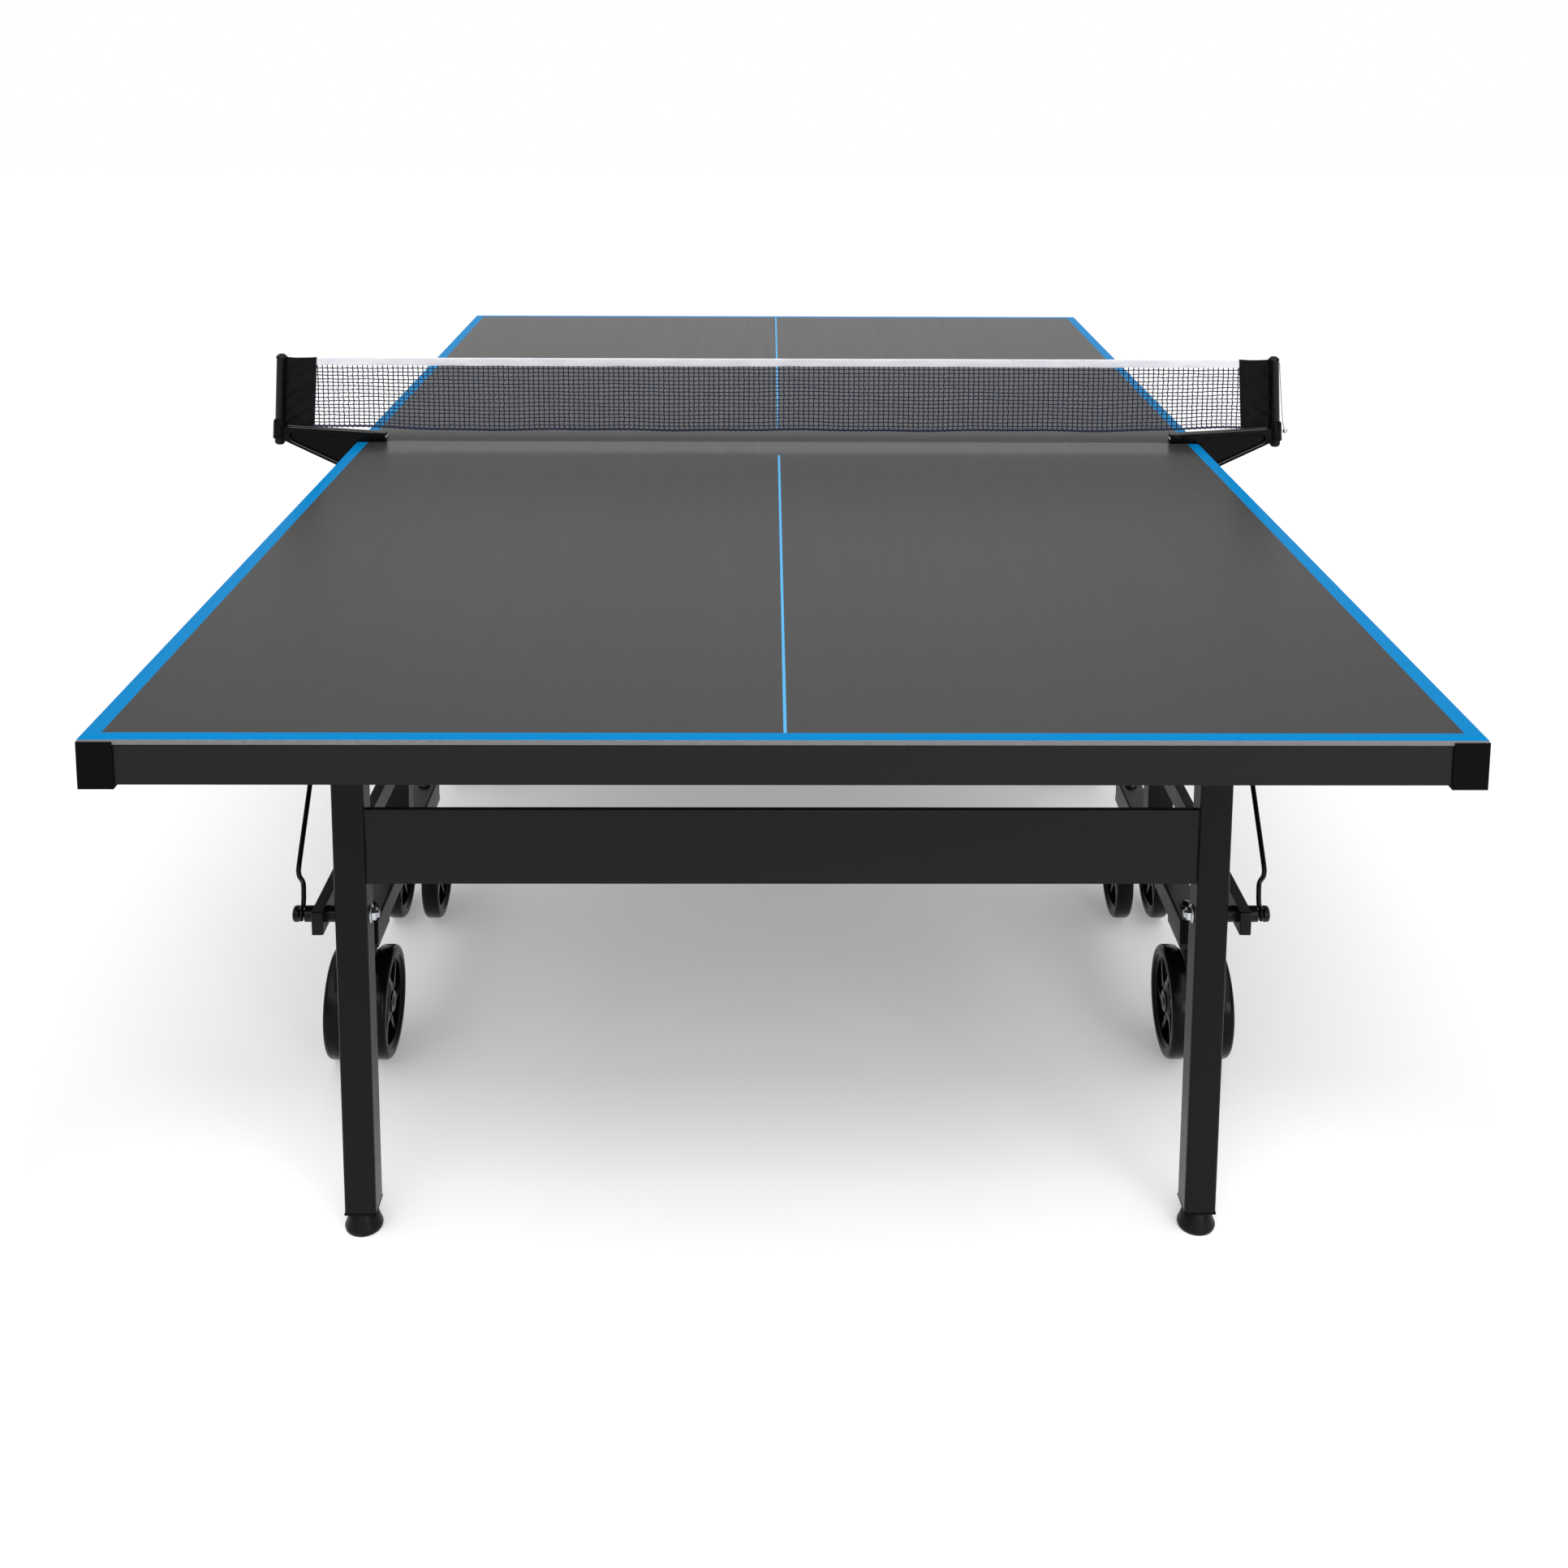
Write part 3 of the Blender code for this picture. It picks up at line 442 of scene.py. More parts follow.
TO_X = Matrix.Rotation(pi / 2, 4, "Y")  # turns the Z axis to +X
TO_MINUS_X = Matrix.Rotation(-pi / 2, 4, "Y")


def lathe(outline, steps=48):
    """A turned shape about Z. Its outline is (radius, height) from one end to the other."""
    shape = Shape()
    rings = []
    for r, z in outline:
        start = len(shape.points)
        if r < 1e-7:
            shape.points.append(Vector((0, 0, z)))
            rings.append([start] * steps)
            continue
        for i in range(steps):
            a = 2 * pi * i / steps
            shape.points.append(Vector((r * cos(a), r * sin(a), z)))
        rings.append([start + i for i in range(steps)])
    for low, high in zip(rings, rings[1:]):
        for i in range(steps):
            j = (i + 1) % steps
            loop = [low[i], low[j], high[j], high[i]]
            face = tuple(dict.fromkeys(loop))
            if len(face) > 2:
                shape.faces.append(face)
    return shape


def ring(section, steps=64):
    """A closed section of (radius, height), turned about Z."""
    shape = Shape()
    count = len(section)
    for i in range(steps):
        a = 2 * pi * i / steps
        shape.points += [Vector((r * cos(a), r * sin(a), z)) for r, z in section]
    for i in range(steps):
        j = (i + 1) % steps
        for k in range(count):
            m = (k + 1) % count
            shape.faces.append((i * count + k, i * count + m, j * count + m, j * count + k))
    return shape


def sweep(path, radius, sides=12):
    """A round tube with closed ends along a path."""
    path = [Vector(p) for p in path]
    shape = Shape()
    ahead = (path[1] - path[0]).normalized()
    across = ahead.orthogonal().normalized()
    for i, place in enumerate(path):
        before, after = path[max(i - 1, 0)], path[min(i + 1, len(path) - 1)]
        turned = (after - before).normalized()
        across = (across - turned * across.dot(turned)).normalized()
        other = turned.cross(across)
        for k in range(sides):
            a = 2 * pi * k / sides
            shape.points.append(place + (across * cos(a) + other * sin(a)) * radius)
    for i in range(len(path) - 1):
        for k in range(sides):
            m = (k + 1) % sides
            base, following = i * sides, (i + 1) * sides
            shape.faces.append((base + k, base + m, following + m, following + k))
    last = (len(path) - 1) * sides
    shape.faces.append(tuple(reversed(range(sides))))
    shape.faces.append(tuple(range(last, last + sides)))
    return shape


def smooth_path(points, per_span=6):
    """A smooth line through the points."""
    points = [Vector(p) for p in points]
    padded = [2 * points[0] - points[1], *points, 2 * points[-1] - points[-2]]
    line = []
    for a, b, c, d in zip(padded, padded[1:], padded[2:], padded[3:]):
        for i in range(per_span):
            t = i / per_span
            bend = (2 * a - 5 * b + 4 * c - d) * t**2
            twist = (3 * b - a - 3 * c + d) * t**3
            line.append(0.5 * (2 * b + (c - a) * t + bend + twist))
    line.append(points[-1])
    return line


def prism(outline, low, high):
    """An outline in the XY plane, pulled along Z."""
    count = len(outline)
    shape = Shape([(x, y, low) for x, y in outline] + [(x, y, high) for x, y in outline])
    shape.faces.append(tuple(reversed(range(count))))
    shape.faces.append(tuple(range(count, 2 * count)))
    for i in range(count):
        j = (i + 1) % count
        shape.faces.append((i, j, count + j, count + i))
    return shape


def taken_from(bm):
    """The points and faces of a bmesh, which is freed."""
    bm.verts.index_update()
    shape = Shape([v.co for v in bm.verts], [[v.index for v in f.verts] for f in bm.faces])
    bm.free()
    return shape


def mirrored(half):
    """A profile of (radius, height), followed by its mirror image below height 0."""
    return half + [(radius, -height) for radius, height in reversed(half)]


def rounded_block(low, high, radius, segments=2):
    """A box whose edges are rounded."""
    low, high = Vector(low), Vector(high)
    bm = bmesh.new()
    bmesh.ops.create_cube(bm, size=1.0)
    bmesh.ops.scale(bm, vec=high - low, verts=bm.verts)
    bmesh.ops.translate(bm, vec=(low + high) / 2, verts=bm.verts)
    bmesh.ops.bevel(
        bm, geom=list(bm.edges), offset=radius, segments=segments, profile=0.5, affect="EDGES"
    )
    return taken_from(bm)


def plate(rim, holes, low, high, radius=0.0, segments=2):
    """A flat plate with holes in it, between two heights, its edges rounded."""
    bm = bmesh.new()
    for loop in (rim, *holes):
        corners = [bm.verts.new((x, y, low)) for x, y in loop]
        for a, b in zip(corners, corners[1:] + corners[:1]):
            bm.edges.new((a, b))
    bmesh.ops.triangle_fill(bm, use_beauty=True, use_dissolve=True, edges=bm.edges[:])
    grown = bmesh.ops.extrude_face_region(bm, geom=bm.faces[:])["geom"]
    raised = [item for item in grown if isinstance(item, bmesh.types.BMVert)]
    bmesh.ops.translate(bm, vec=(0, 0, high - low), verts=raised)
    bmesh.ops.recalc_face_normals(bm, faces=bm.faces)
    if radius:
        sharp = [e for e in bm.edges if e.is_manifold and e.calc_face_angle() > radians(40)]
        bmesh.ops.bevel(
            bm, geom=sharp, offset=radius, segments=segments, profile=0.5, affect="EDGES"
        )
    return taken_from(bm)


def rounded_loop(corners, radius, steps=5):
    """A closed outline with its corners rounded."""
    corners = [Vector(c) for c in corners]
    loop = []
    previous, following = corners[-1:] + corners[:-1], corners[1:] + corners[:1]
    for before, corner, after in zip(previous, corners, following):
        reach = min(radius, (before - corner).length * 0.45, (after - corner).length * 0.45)
        a = corner + (before - corner).normalized() * reach
        b = corner + (after - corner).normalized() * reach
        for i in range(steps + 1):
            t = i / steps
            loop.append(tuple(a * (1 - t) ** 2 + corner * 2 * t * (1 - t) + b * t**2))
    return loop


def nut_shape(flats, height):
    """A hexagonal nut with chamfered corners, on the Z axis."""
    corner = flats / cos(pi / 6)
    chamfer = corner - flats
    outline = [(0, 0), (flats, 0), (corner, chamfer), (corner, height - chamfer)]
    return lathe(outline + [(flats, height), (0, height)], 6)


def piece(name, shape, material, body, replaces=(), sharp=35):
    """A finished piece that rides on a body."""
    mesh = bpy.data.meshes.new(name)
    mesh.from_pydata([tuple(p) for p in shape.points], [], shape.faces)
    bm = bmesh.new()
    bm.from_mesh(mesh)
    bmesh.ops.recalc_face_normals(bm, faces=bm.faces)
    bm.to_mesh(mesh)
    bm.free()
    mesh.materials.append(MATERIALS[material])
    mesh.shade_smooth()
    mesh.set_sharp_from_angle(angle=radians(sharp))
    obj = bpy.data.objects.new(name, mesh)
    bpy.context.scene.collection.objects.link(obj)
    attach(obj, body)
    if replaces:
        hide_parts(*replaces)
    return obj


def dress(node, material, bevel=0.0, segments=2):
    """Gives a CAD node its material, and rounds its sharp edges if bevel is above 0."""
    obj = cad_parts[node]
    obj.data.materials.clear()
    obj.data.materials.append(MATERIALS[material])
    if bevel:
        rounding = obj.modifiers.new("rounding", "BEVEL")
        rounding.width = bevel
        rounding.segments = segments
        rounding.limit_method = "ANGLE"
        rounding.angle_limit = radians(40)
        rounding.harden_normals = True


# ---- the top ----


LINE_WIDTH = 0.020
CENTRE_LINE_WIDTH = 0.0036
CENTRE_LINE_STARTS = 0.100  # from the net


def panel(name, end):
    """The board with its eased edges, its printed lines on top and a grey edge round it."""
    low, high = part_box(f"{name}_tabletop_panel")
    shape = rounded_block(low, high, 0.0006, 2)
    replaced = (f"{name}_tabletop_panel",)
    board = piece(f"{name}_board", shape, "board", f"{name}_top", replaced)
    for material in ("board_edge", "line", "centre_line"):
        board.data.materials.append(MATERIALS[material])
    side = high.x - LINE_WIDTH
    inner = abs(low.y if end < 0 else high.y) - LINE_WIDTH
    half = CENTRE_LINE_WIDTH / 2
    bm = bmesh.new()
    bm.from_mesh(board.data)
    cuts = [((x, 0, 0), (1, 0, 0)) for x in (-side, -half, half, side)]
    cuts += [((0, end * y, 0), (0, 1, 0)) for y in (CENTRE_LINE_STARTS, inner)]
    for place, normal in cuts:
        everything = bm.verts[:] + bm.edges[:] + bm.faces[:]
        bmesh.ops.bisect_plane(bm, geom=everything, plane_co=place, plane_no=normal, dist=1e-6)
    for face in bm.faces:
        centre = face.calc_center_median()
        if abs(face.normal.z) < 0.9:
            face.material_index = 1
        elif face.normal.z > 0 and (abs(centre.x) > side or abs(centre.y) > inner):
            face.material_index = 2
        elif face.normal.z > 0 and abs(centre.x) < half and abs(centre.y) > CENTRE_LINE_STARTS:
            face.material_index = 3
    bm.to_mesh(board.data)
    bm.free()


# ---- bolts and plugs of the tubes ----

UPRIGHT_X = 0.602
RAIL_TOP = 0.231
RAIL_PLUG_Z = (0.1957, 0.2303)
RAIL_PLUG_HALF = 0.0195
LEG_PLUG_HALF = 0.0203
PLUG_GAP = 0.0002


def rail_bolts(name):
    """Dome bolts on the rails of the trolley, over the wheel brackets."""
    dome = [(0.0104, 0.0), (0.0104, 0.0012), (0.0096, 0.0034)]
    dome += [(0.0074, 0.0056), (0.0040, 0.0068), (0.0, 0.0072)]
    for word, side in SIDES:
        shape = Shape()
        for place in PLACES:
            bracket = middle(f"{name}_wheel_bracket_{place}_{word}")
            shape.add(lathe(dome, 32), at(side * UPRIGHT_X, bracket.y, RAIL_TOP))
        piece(f"{name}_rail_bolts_{word}", shape, "bolt", f"{name}_trolley")


def end_plug(xs, zs, y, way, inside, proud, radius, segments=2):
    """A rounded plug in a tube's end at y, partly inside it and standing proud of it."""
    near, far = sorted((y - way * inside, y + way * proud))
    return rounded_block((xs[0], near, zs[0]), (xs[1], far, zs[1]), radius, segments)


def tube_plugs(name):
    """Plastic plugs in the open ends of rails, link bars and legs."""
    for word, side in SIDES:
        rail, bar = Shape(), Shape()
        low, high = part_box(f"{name}_side_frame_{word}")
        xs = (side * UPRIGHT_X - RAIL_PLUG_HALF, side * UPRIGHT_X + RAIL_PLUG_HALF)
        for y, way in ((low.y, -1), (high.y, 1)):
            rail.add(end_plug(xs, RAIL_PLUG_Z, y, way, 0.004, 0.0035, 0.0012))
        piece(f"{name}_rail_plugs_{word}", rail, "cap", f"{name}_trolley")
        low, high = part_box(f"{name}_link_bar_{word}")
        xs, zs = (low.x + PLUG_GAP, high.x - PLUG_GAP), (low.z + PLUG_GAP, high.z - PLUG_GAP)
        for y, way in ((low.y, -1), (high.y, 1)):
            bar.add(end_plug(xs, zs, y, way, 0.006, 0.0022, 0.0014, 3))
        piece(f"{name}_link_plugs_{word}", bar, "plastic", f"{name}_links")
        leg_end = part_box(f"{name}_leg_{word}")[0].z
        centre = middle(f"{name}_foot_{word}")
        lip = rounded_block(
            (centre.x - LEG_PLUG_HALF, centre.y - LEG_PLUG_HALF, leg_end - 0.0004),
            (centre.x + LEG_PLUG_HALF, centre.y + LEG_PLUG_HALF, leg_end + 0.0030),
            0.0009,
        )
        piece(f"{name}_leg_plug_{word}", lip, "cap", f"{name}_legs")


# ---- feet, bolts and rods ----

STUD_TURNS, STUD_PITCH = 24, 0.00125
LEG_INNER, LEG_OUTER = 0.512, 0.552  # X of the faces of a leg
BOLT_GROOVE = (0.5925, 0.5997)
ROD_X = 0.596
ROD_WIRE = 0.0031
HOOK_WIRE = 0.0026
HOOK_REACH = 0.00805
ROD_LINE = (  # (distance in from the player's end, height) of the wire, from its pivot down
    (0.425, 0.695),
    (0.4195, 0.6886),
    (0.360, 0.6197),
    (0.300, 0.5502),
    (0.2600, 0.5040),
    (0.2494, 0.4905),
    (0.2484, 0.4855),
    (0.2510, 0.4790),
    (0.2600, 0.4700),
    (0.2662, 0.4632),
    (0.2685, 0.4560),
    (0.2680, 0.4480),
    (0.2668, 0.4400),
    (0.2638, 0.4322),
)


def foot(name, word):
    """A bell-shaped foot on a threaded stud."""
    node = f"{name}_foot_{word}"
    low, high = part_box(node)
    centre = middle(node)
    width = (high.x - low.x) / 2
    bell = [
        (0.0, 0.0272),
        (0.0158, 0.0272),
        (0.0163, 0.0262),
        (0.0163, 0.0240),
        (0.0176, 0.0222),
        (0.0196, 0.0175),
        (0.0214, 0.0122),
        (0.0230, 0.0082),
        (width, 0.0058),
        (width, 0.0040),
        (0.0234, 0.0014),
        (0.0224, 0.0),
        (0.0, 0.0),
    ]
    shape = lathe(bell, 48).moved(at(centre.x, centre.y, 0))
    piece(f"{node}_bell", shape, "rubber", node, (node,), 50)
    thread = [(0.0, 0.0270)]
    for i in range(STUD_TURNS):
        z = 0.0280 + i * STUD_PITCH
        thread += [(0.0036, z), (0.0040, z + STUD_PITCH / 2)]
    thread += [(0.0036, 0.0590), (0.0, 0.0600)]
    stud = lathe(thread, 20).moved(at(centre.x, centre.y, 0))
    piece(f"{node}_stud", stud, "zinc", node)


def pivot_bolt(name, word, side):
    """The leg's pivot bolt: black sleeve with its groove, and a zinc flange nut on its thread."""
    node = f"{name}_pivot_bolt_{word}"
    low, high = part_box(node)
    centre = middle(node)
    outer = max(abs(low.x), abs(high.x))
    inner = min(abs(low.x), abs(high.x))
    groove_in, groove_out = BOLT_GROOVE
    outline = [
        (0.0, LEG_OUTER + 0.0003),
        (0.0094, LEG_OUTER + 0.0003),
        (0.0100, LEG_OUTER + 0.0009),
        (0.0100, groove_in - 0.0006),
        (0.0094, groove_in),
        (0.0050, groove_in),
        (0.0050, groove_out),
        (0.0094, groove_out),
        (0.0100, groove_out + 0.0006),
        (0.0100, outer - 0.0040),
        (0.0094, outer - 0.0022),
        (0.0076, outer - 0.0009),
        (0.0040, outer - 0.0002),
        (0.0, outer),
    ]
    turn = TO_X if side > 0 else TO_MINUS_X
    placed = at(0, centre.y, centre.z) @ turn
    shape = lathe(outline, 40).moved(placed)
    piece(f"{node}_sleeve", shape, "plastic", f"{name}_legs", (node,))
    seat = LEG_INNER - 0.0003
    rim = [(0.0, seat), (0.0112, seat), (0.0114, seat - 0.0010)]
    flange = lathe([*rim, (0.0096, seat - 0.0024), (0.0, seat - 0.0026)], 40)
    nut = nut_shape(0.0078, 0.0052).moved(at(0, 0, seat - 0.0074))
    shank = [(0.0, seat - 0.0070)]
    for i in range(4):
        x = seat - 0.0074 - i * 0.0010
        shank += [(0.0049, x), (0.0044, x - 0.0005)]
    shank += [(0.0036, inner + 0.0002), (0.0, inner)]
    metal = Shape().add(flange, placed).add(nut, placed).add(lathe(shank, 24), placed)
    piece(f"{node}_nut", metal, "zinc", f"{name}_legs")


def lock_rod(name, end, word, side):
    """The wire strut, bent over the bolt's groove, with a washer where it turns."""
    node = f"{name}_lock_rod_{word}"
    x = side * ROD_X
    length_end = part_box(f"{name}_tabletop_panel")[0 if end < 0 else 1].y
    bolt = middle(f"{name}_pivot_bolt_{word}")

    def place(inset, z, across=x):
        return (across, length_end - end * inset, z)

    pivot_in, pivot_z = ROD_LINE[0]
    wire = [place(pivot_in, pivot_z, side * 0.5775), place(pivot_in, pivot_z, side * 0.5905)]
    wire.append(place(pivot_in - 0.0016, pivot_z - 0.0019, side * 0.5950))
    wire += [place(inset, z) for inset, z in ROD_LINE[1:]]
    shape = sweep(smooth_path(wire, 5), ROD_WIRE, 14)
    hook = []
    for degrees in range(62, 216, 9):
        a = radians(degrees)
        hook.append((x, bolt.y - end * HOOK_REACH * cos(a), bolt.z + HOOK_REACH * sin(a)))
    shape.add(sweep(hook, HOOK_WIRE, 14))
    washer = lathe([(0.0, -0.0015), (0.006, -0.0015), (0.006, 0.0015), (0.0, 0.0015)], 28)
    shape.add(washer, at(side * 0.5795, length_end - end * pivot_in, pivot_z) @ TO_X)
    piece(f"{node}_wire", shape, "gloss", node, (node,))


# ---- wheels ----

SPOKES = 6
SPOKE_SWEEP = 0.42  # radians from hub to rim
WHEEL_HALF_WIDTH = 0.014
AXLE_R, AXLE_HALF = 0.0059, 0.0375


def wheel_shapes(radius, half_width):
    """The body and the lip of one wheel, on the Z axis: tread, rim, curved spokes and hub."""
    r, w = radius, half_width
    tread = [
        (r - 0.0140, w - 0.0022),
        (r - 0.0115, w - 0.0004),
        (r - 0.0065, w - 0.0002),
        (r - 0.0030, w - 0.0012),
        (r - 0.0010, w - 0.0034),
        (r, w - 0.0065),
    ]
    body = ring([*mirrored(tread), (r - 0.0150, 0.0)], 72)
    rim = [(r - 0.0135, w - 0.0030), (r - 0.0190, w - 0.0050), (r - 0.0200, w - 0.0062)]
    body.add(ring(mirrored(rim), 72))
    hub_r = r * 0.34
    hub = [
        (0.0062, w - 0.0030),
        (0.0150, w - 0.0030),
        (0.0160, w - 0.0050),
        (hub_r - 0.0040, w - 0.0070),
        (hub_r, w - 0.0080),
    ]
    body.add(ring(mirrored(hub), 48))
    arm = spoke(hub_r - 0.002, r - 0.0180, w - 0.0068)
    for i in range(SPOKES):
        body.add(arm, Matrix.Rotation(2 * pi * i / SPOKES, 4, "Z"))
    lip = Shape()
    for way in (1, -1):
        flat = [
            (r - 0.0068, way * (w - 0.0001)),
            (r - 0.0112, way * (w - 0.0001)),
            (r - 0.0128, way * (w - 0.0016)),
            (r - 0.0068, way * (w - 0.0016)),
        ]
        lip.add(ring(flat, 72))
    return body, lip


def spoke(inner, outer, depth):
    """One curved spoke, thicker at both ends."""
    left, right = [], []
    steps = 8
    for i in range(steps + 1):
        t = i / steps
        r = inner + (outer - inner) * t
        a = SPOKE_SWEEP * t
        half = 0.0036 + 0.0022 * (2 * t - 1) ** 2
        along = Vector((cos(a), sin(a)))
        across = Vector((-sin(a), cos(a)))
        left.append(along * r + across * half)
        right.append(along * r - across * half)
    outline = [tuple(p) for p in left] + [tuple(p) for p in reversed(right)]
    return prism(outline, -depth, depth)


def wheel_pair(name, place, word):
    """Two wheels on one axle, with a domed cap on each end of it."""
    node = f"{name}_wheel_pair_{place}_{word}"
    low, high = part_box(node)
    centre = middle(node)
    radius = (high.z - low.z) / 2
    spread = (high.x - low.x) / 2 - WHEEL_HALF_WIDTH
    body, lip = Shape(), Shape()
    wheel, edge = wheel_shapes(radius, WHEEL_HALF_WIDTH)
    for x in (-spread, spread):
        placed = at(centre.x + x, centre.y, centre.z) @ TO_X
        body.add(wheel, placed)
        lip.add(edge, placed)
    cap = [(0.0, 0.0442), (0.0060, 0.0438), (0.0098, 0.0420), (0.0106, 0.0402), (0.0062, 0.0402)]
    cap += [(0.0062, 0.0380), (0.0, 0.0380)]
    for way in (TO_X, TO_MINUS_X):
        body.add(lathe(cap, 28), at(*centre) @ way)
    rod = [(0.0, -AXLE_HALF), (AXLE_R, -AXLE_HALF), (AXLE_R, AXLE_HALF), (0.0, AXLE_HALF)]
    axle = lathe(rod, 28).moved(at(*centre) @ TO_X)
    riding = f"{name}_wheels_{place}_{word}"
    piece(f"{node}_wheels", body, "gloss", riding, (node,))
    # the lips' grey plastic is a painted reflection on the rim rings
    piece(f"{node}_lips_painted_reflection", lip, "lip", riding)
    piece(f"{node}_axle", axle, "zinc", riding)


# ---- the net ----

NET_TOP, NET_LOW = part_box("net")[1].z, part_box("net")[0].z
BAND_LOW = 0.9003
SLEEVE_TOP_X, SLEEVE_LOW_X = 0.8320, 0.8405
NET_REACH = SLEEVE_LOW_X + 0.004  # half of the netting's length, its ends inside the sleeves
MESH_ROWS = 17
MESH_PITCH = 0.00904
THREAD = 0.0021
HEM_STEPS, HEM_TURNS, HEM_TURN_STEPS = 260, 178, 6
BAND_HALF, BAND_WALL = 0.0015, 0.0005
STITCH_SPACING, STITCH_LENGTH = 0.0042, 0.0026
SLEEVE_OUTER_X = (0.8968, 0.8897)  # at the foot and at the top
SLEEVE_STEPS = (26, 60)
SLEEVE_HALF = 0.0016
SLEEVE_TOP = NET_TOP + 0.0004


def ease(t):
    t = min(max(t, 0.0), 1.0)
    return t * t * (3 - 2 * t)


def net_foot(x):
    """The height of the net's lower edge, which hangs a little uneven."""
    rise = 0.0058 * ease((abs(x) - 0.55) / 0.29)
    return NET_LOW + 0.0012 + rise + 0.0008 * sin(16 * x + 1.0) + 0.0005 * sin(41 * x)


def wander(a, b):
    """A small repeatable irregularity, from -1 to 2."""
    value = sin(a * 12.9898 + b * 78.233) * 43758.5453
    part = 2 * (value - int(value))
    return part if value >= 0 else part + 1


def net_point(x, row):
    """Where the thread crossing at x lies on a row: 0 is the lower edge, MESH_ROWS the band."""
    t = row / MESH_ROWS
    z = net_foot(x) + (BAND_LOW + 0.001 - net_foot(x)) * t
    z += 0.0006 * sin(pi * t) * sin(23 * x + 0.7 * row)
    y = 0.0011 * sin(pi * t) * sin(9 * x + 2.1 * t)
    return Vector((x, y, z))


def netting():
    """The knotted mesh of navy threads between the sleeves."""
    shape = Shape()
    count = int(NET_REACH / MESH_PITCH)
    for i in range(-count, count + 1):
        x = i * MESH_PITCH
        line = []
        for row in range(MESH_ROWS + 1):
            aside = 0.0007 * (1 if row % 2 else -1) + 0.0005 * wander(i, row)
            edge = sin(pi * row / MESH_ROWS) ** 0.4 if 0 < row < MESH_ROWS else 0.0
            line.append(net_point(x + aside * edge, row))
        shape.add(sweep(line, THREAD / 2, 5))
    for row in range(MESH_ROWS):
        line = []
        for i in range(-count, count + 1):
            place = net_point(i * MESH_PITCH, row)
            place.z += 0.0004 * wander(i + 0.5, row)
            line.append(place)
        shape.add(sweep(line, THREAD / 2, 5))
    mesh = piece("net_threads", shape, "thread", "net_set", ("net",), 80)


def hem_cord():
    """The cord along the net's lower edge, whipped with thread."""
    line, whip = [], []
    for i in range(HEM_STEPS + 1):
        line.append(net_point(-NET_REACH + 2 * NET_REACH * i / HEM_STEPS, 0))
    fine = HEM_TURNS * HEM_TURN_STEPS
    for i in range(fine + 1):
        a = 2 * pi * HEM_TURNS * i / fine
        place = net_point(-NET_REACH + 2 * NET_REACH * i / fine, 0)
        whip.append(place + Vector((0, 0.0016 * cos(a), 0.0027 * sin(a))))
    shape = sweep(line, 0.0019, 8).add(sweep(whip, 0.0006, 4))
    piece("net_hem", shape, "thread", "net_set", (), 80)


def band_flutter(x, low):
    """How far the band waves out of line: low is 0 at its top edge and 1 at its lower edges."""
    return 0.0005 * sin(60 * x) * low + 0.0004 * sin(23 * x + 1.0)


def top_band():
    """The white band, folded over the net's top edge and stitched."""
    reach = SLEEVE_TOP_X + 0.003
    half, wall = BAND_HALF, BAND_WALL
    section = [(-half, BAND_LOW), (-half, NET_TOP - 0.0018), (-half * 0.7, NET_TOP - 0.0005)]
    section += [(0.0, NET_TOP), (half * 0.7, NET_TOP - 0.0005), (half, NET_TOP - 0.0018)]
    section += [(half, BAND_LOW), (half - wall, BAND_LOW), (half - wall, NET_TOP - 0.0018)]
    section += [(0.0, NET_TOP - 0.0012), (wall - half, NET_TOP - 0.0018), (wall - half, BAND_LOW)]
    steps = 220
    shape = Shape()
    count = len(section)
    for i in range(steps + 1):
        x = -reach + 2 * reach * i / steps
        for y, z in section:
            low = max(0.0, (NET_TOP - z) / (NET_TOP - BAND_LOW))
            flutter = band_flutter(x, low)
            droop = 0.0007 * sin(7.1 * x + 0.5) * low + 0.0003 * sin(83 * x) * low
            shape.points.append(Vector((x, y + flutter, z - 0.0004 + droop * 0.6)))
    for i in range(steps):
        for k in range(count):
            m = (k + 1) % count
            base, following = i * count, (i + 1) * count
            shape.faces.append((base + k, base + m, following + m, following + k))
    shape.faces.append(tuple(reversed(range(count))))
    shape.faces.append(tuple(range(steps * count, (steps + 1) * count)))
    band = piece("net_band", shape, "band", "net_set", (), 60)
    stitch = Shape()
    long = STITCH_LENGTH
    z = BAND_LOW + 0.0017
    for i in range(int(2 * reach / STITCH_SPACING)):
        x = -reach + STITCH_SPACING * (i + 0.3)
        shift = band_flutter(x, 0.88)
        for y in (-half - 0.00015, half + 0.00015):
            line = [(x, y + shift, z), (x + long / 2, y * 1.06 + shift, z)]
            stitch.add(sweep([*line, (x + long, y + shift, z)], 0.00022, 4))
    seam = piece("net_band_stitches", stitch, "band", "net_set", (), 80)


def sleeve_foot(x):
    """The sleeve's lower edge, close over the sloping arm of the bracket."""
    return 0.7895 - 0.066 * max(0.885 - x, 0.0)


def sleeve_fold(u, v, side):
    """How far the diagonal pull folds push the cloth: u from the netting to the post, v upward."""
    pull = 0.0016 * sin(31 * v + 10.0 * u + 0.6 * side) + 0.0007 * sin(53 * v + 13.0 * u)
    return pull * (0.25 + 0.75 * u) * (1 - 0.3 * v)


def sleeve_place(u, v):
    """X and Z on the flat sleeve."""
    inner = SLEEVE_LOW_X + (SLEEVE_TOP_X - SLEEVE_LOW_X) * v
    outer = SLEEVE_OUTER_X[0] + (SLEEVE_OUTER_X[1] - SLEEVE_OUTER_X[0]) * v
    x = inner + (outer - inner) * u
    low = sleeve_foot(x)
    return x, low + (SLEEVE_TOP - low) * v


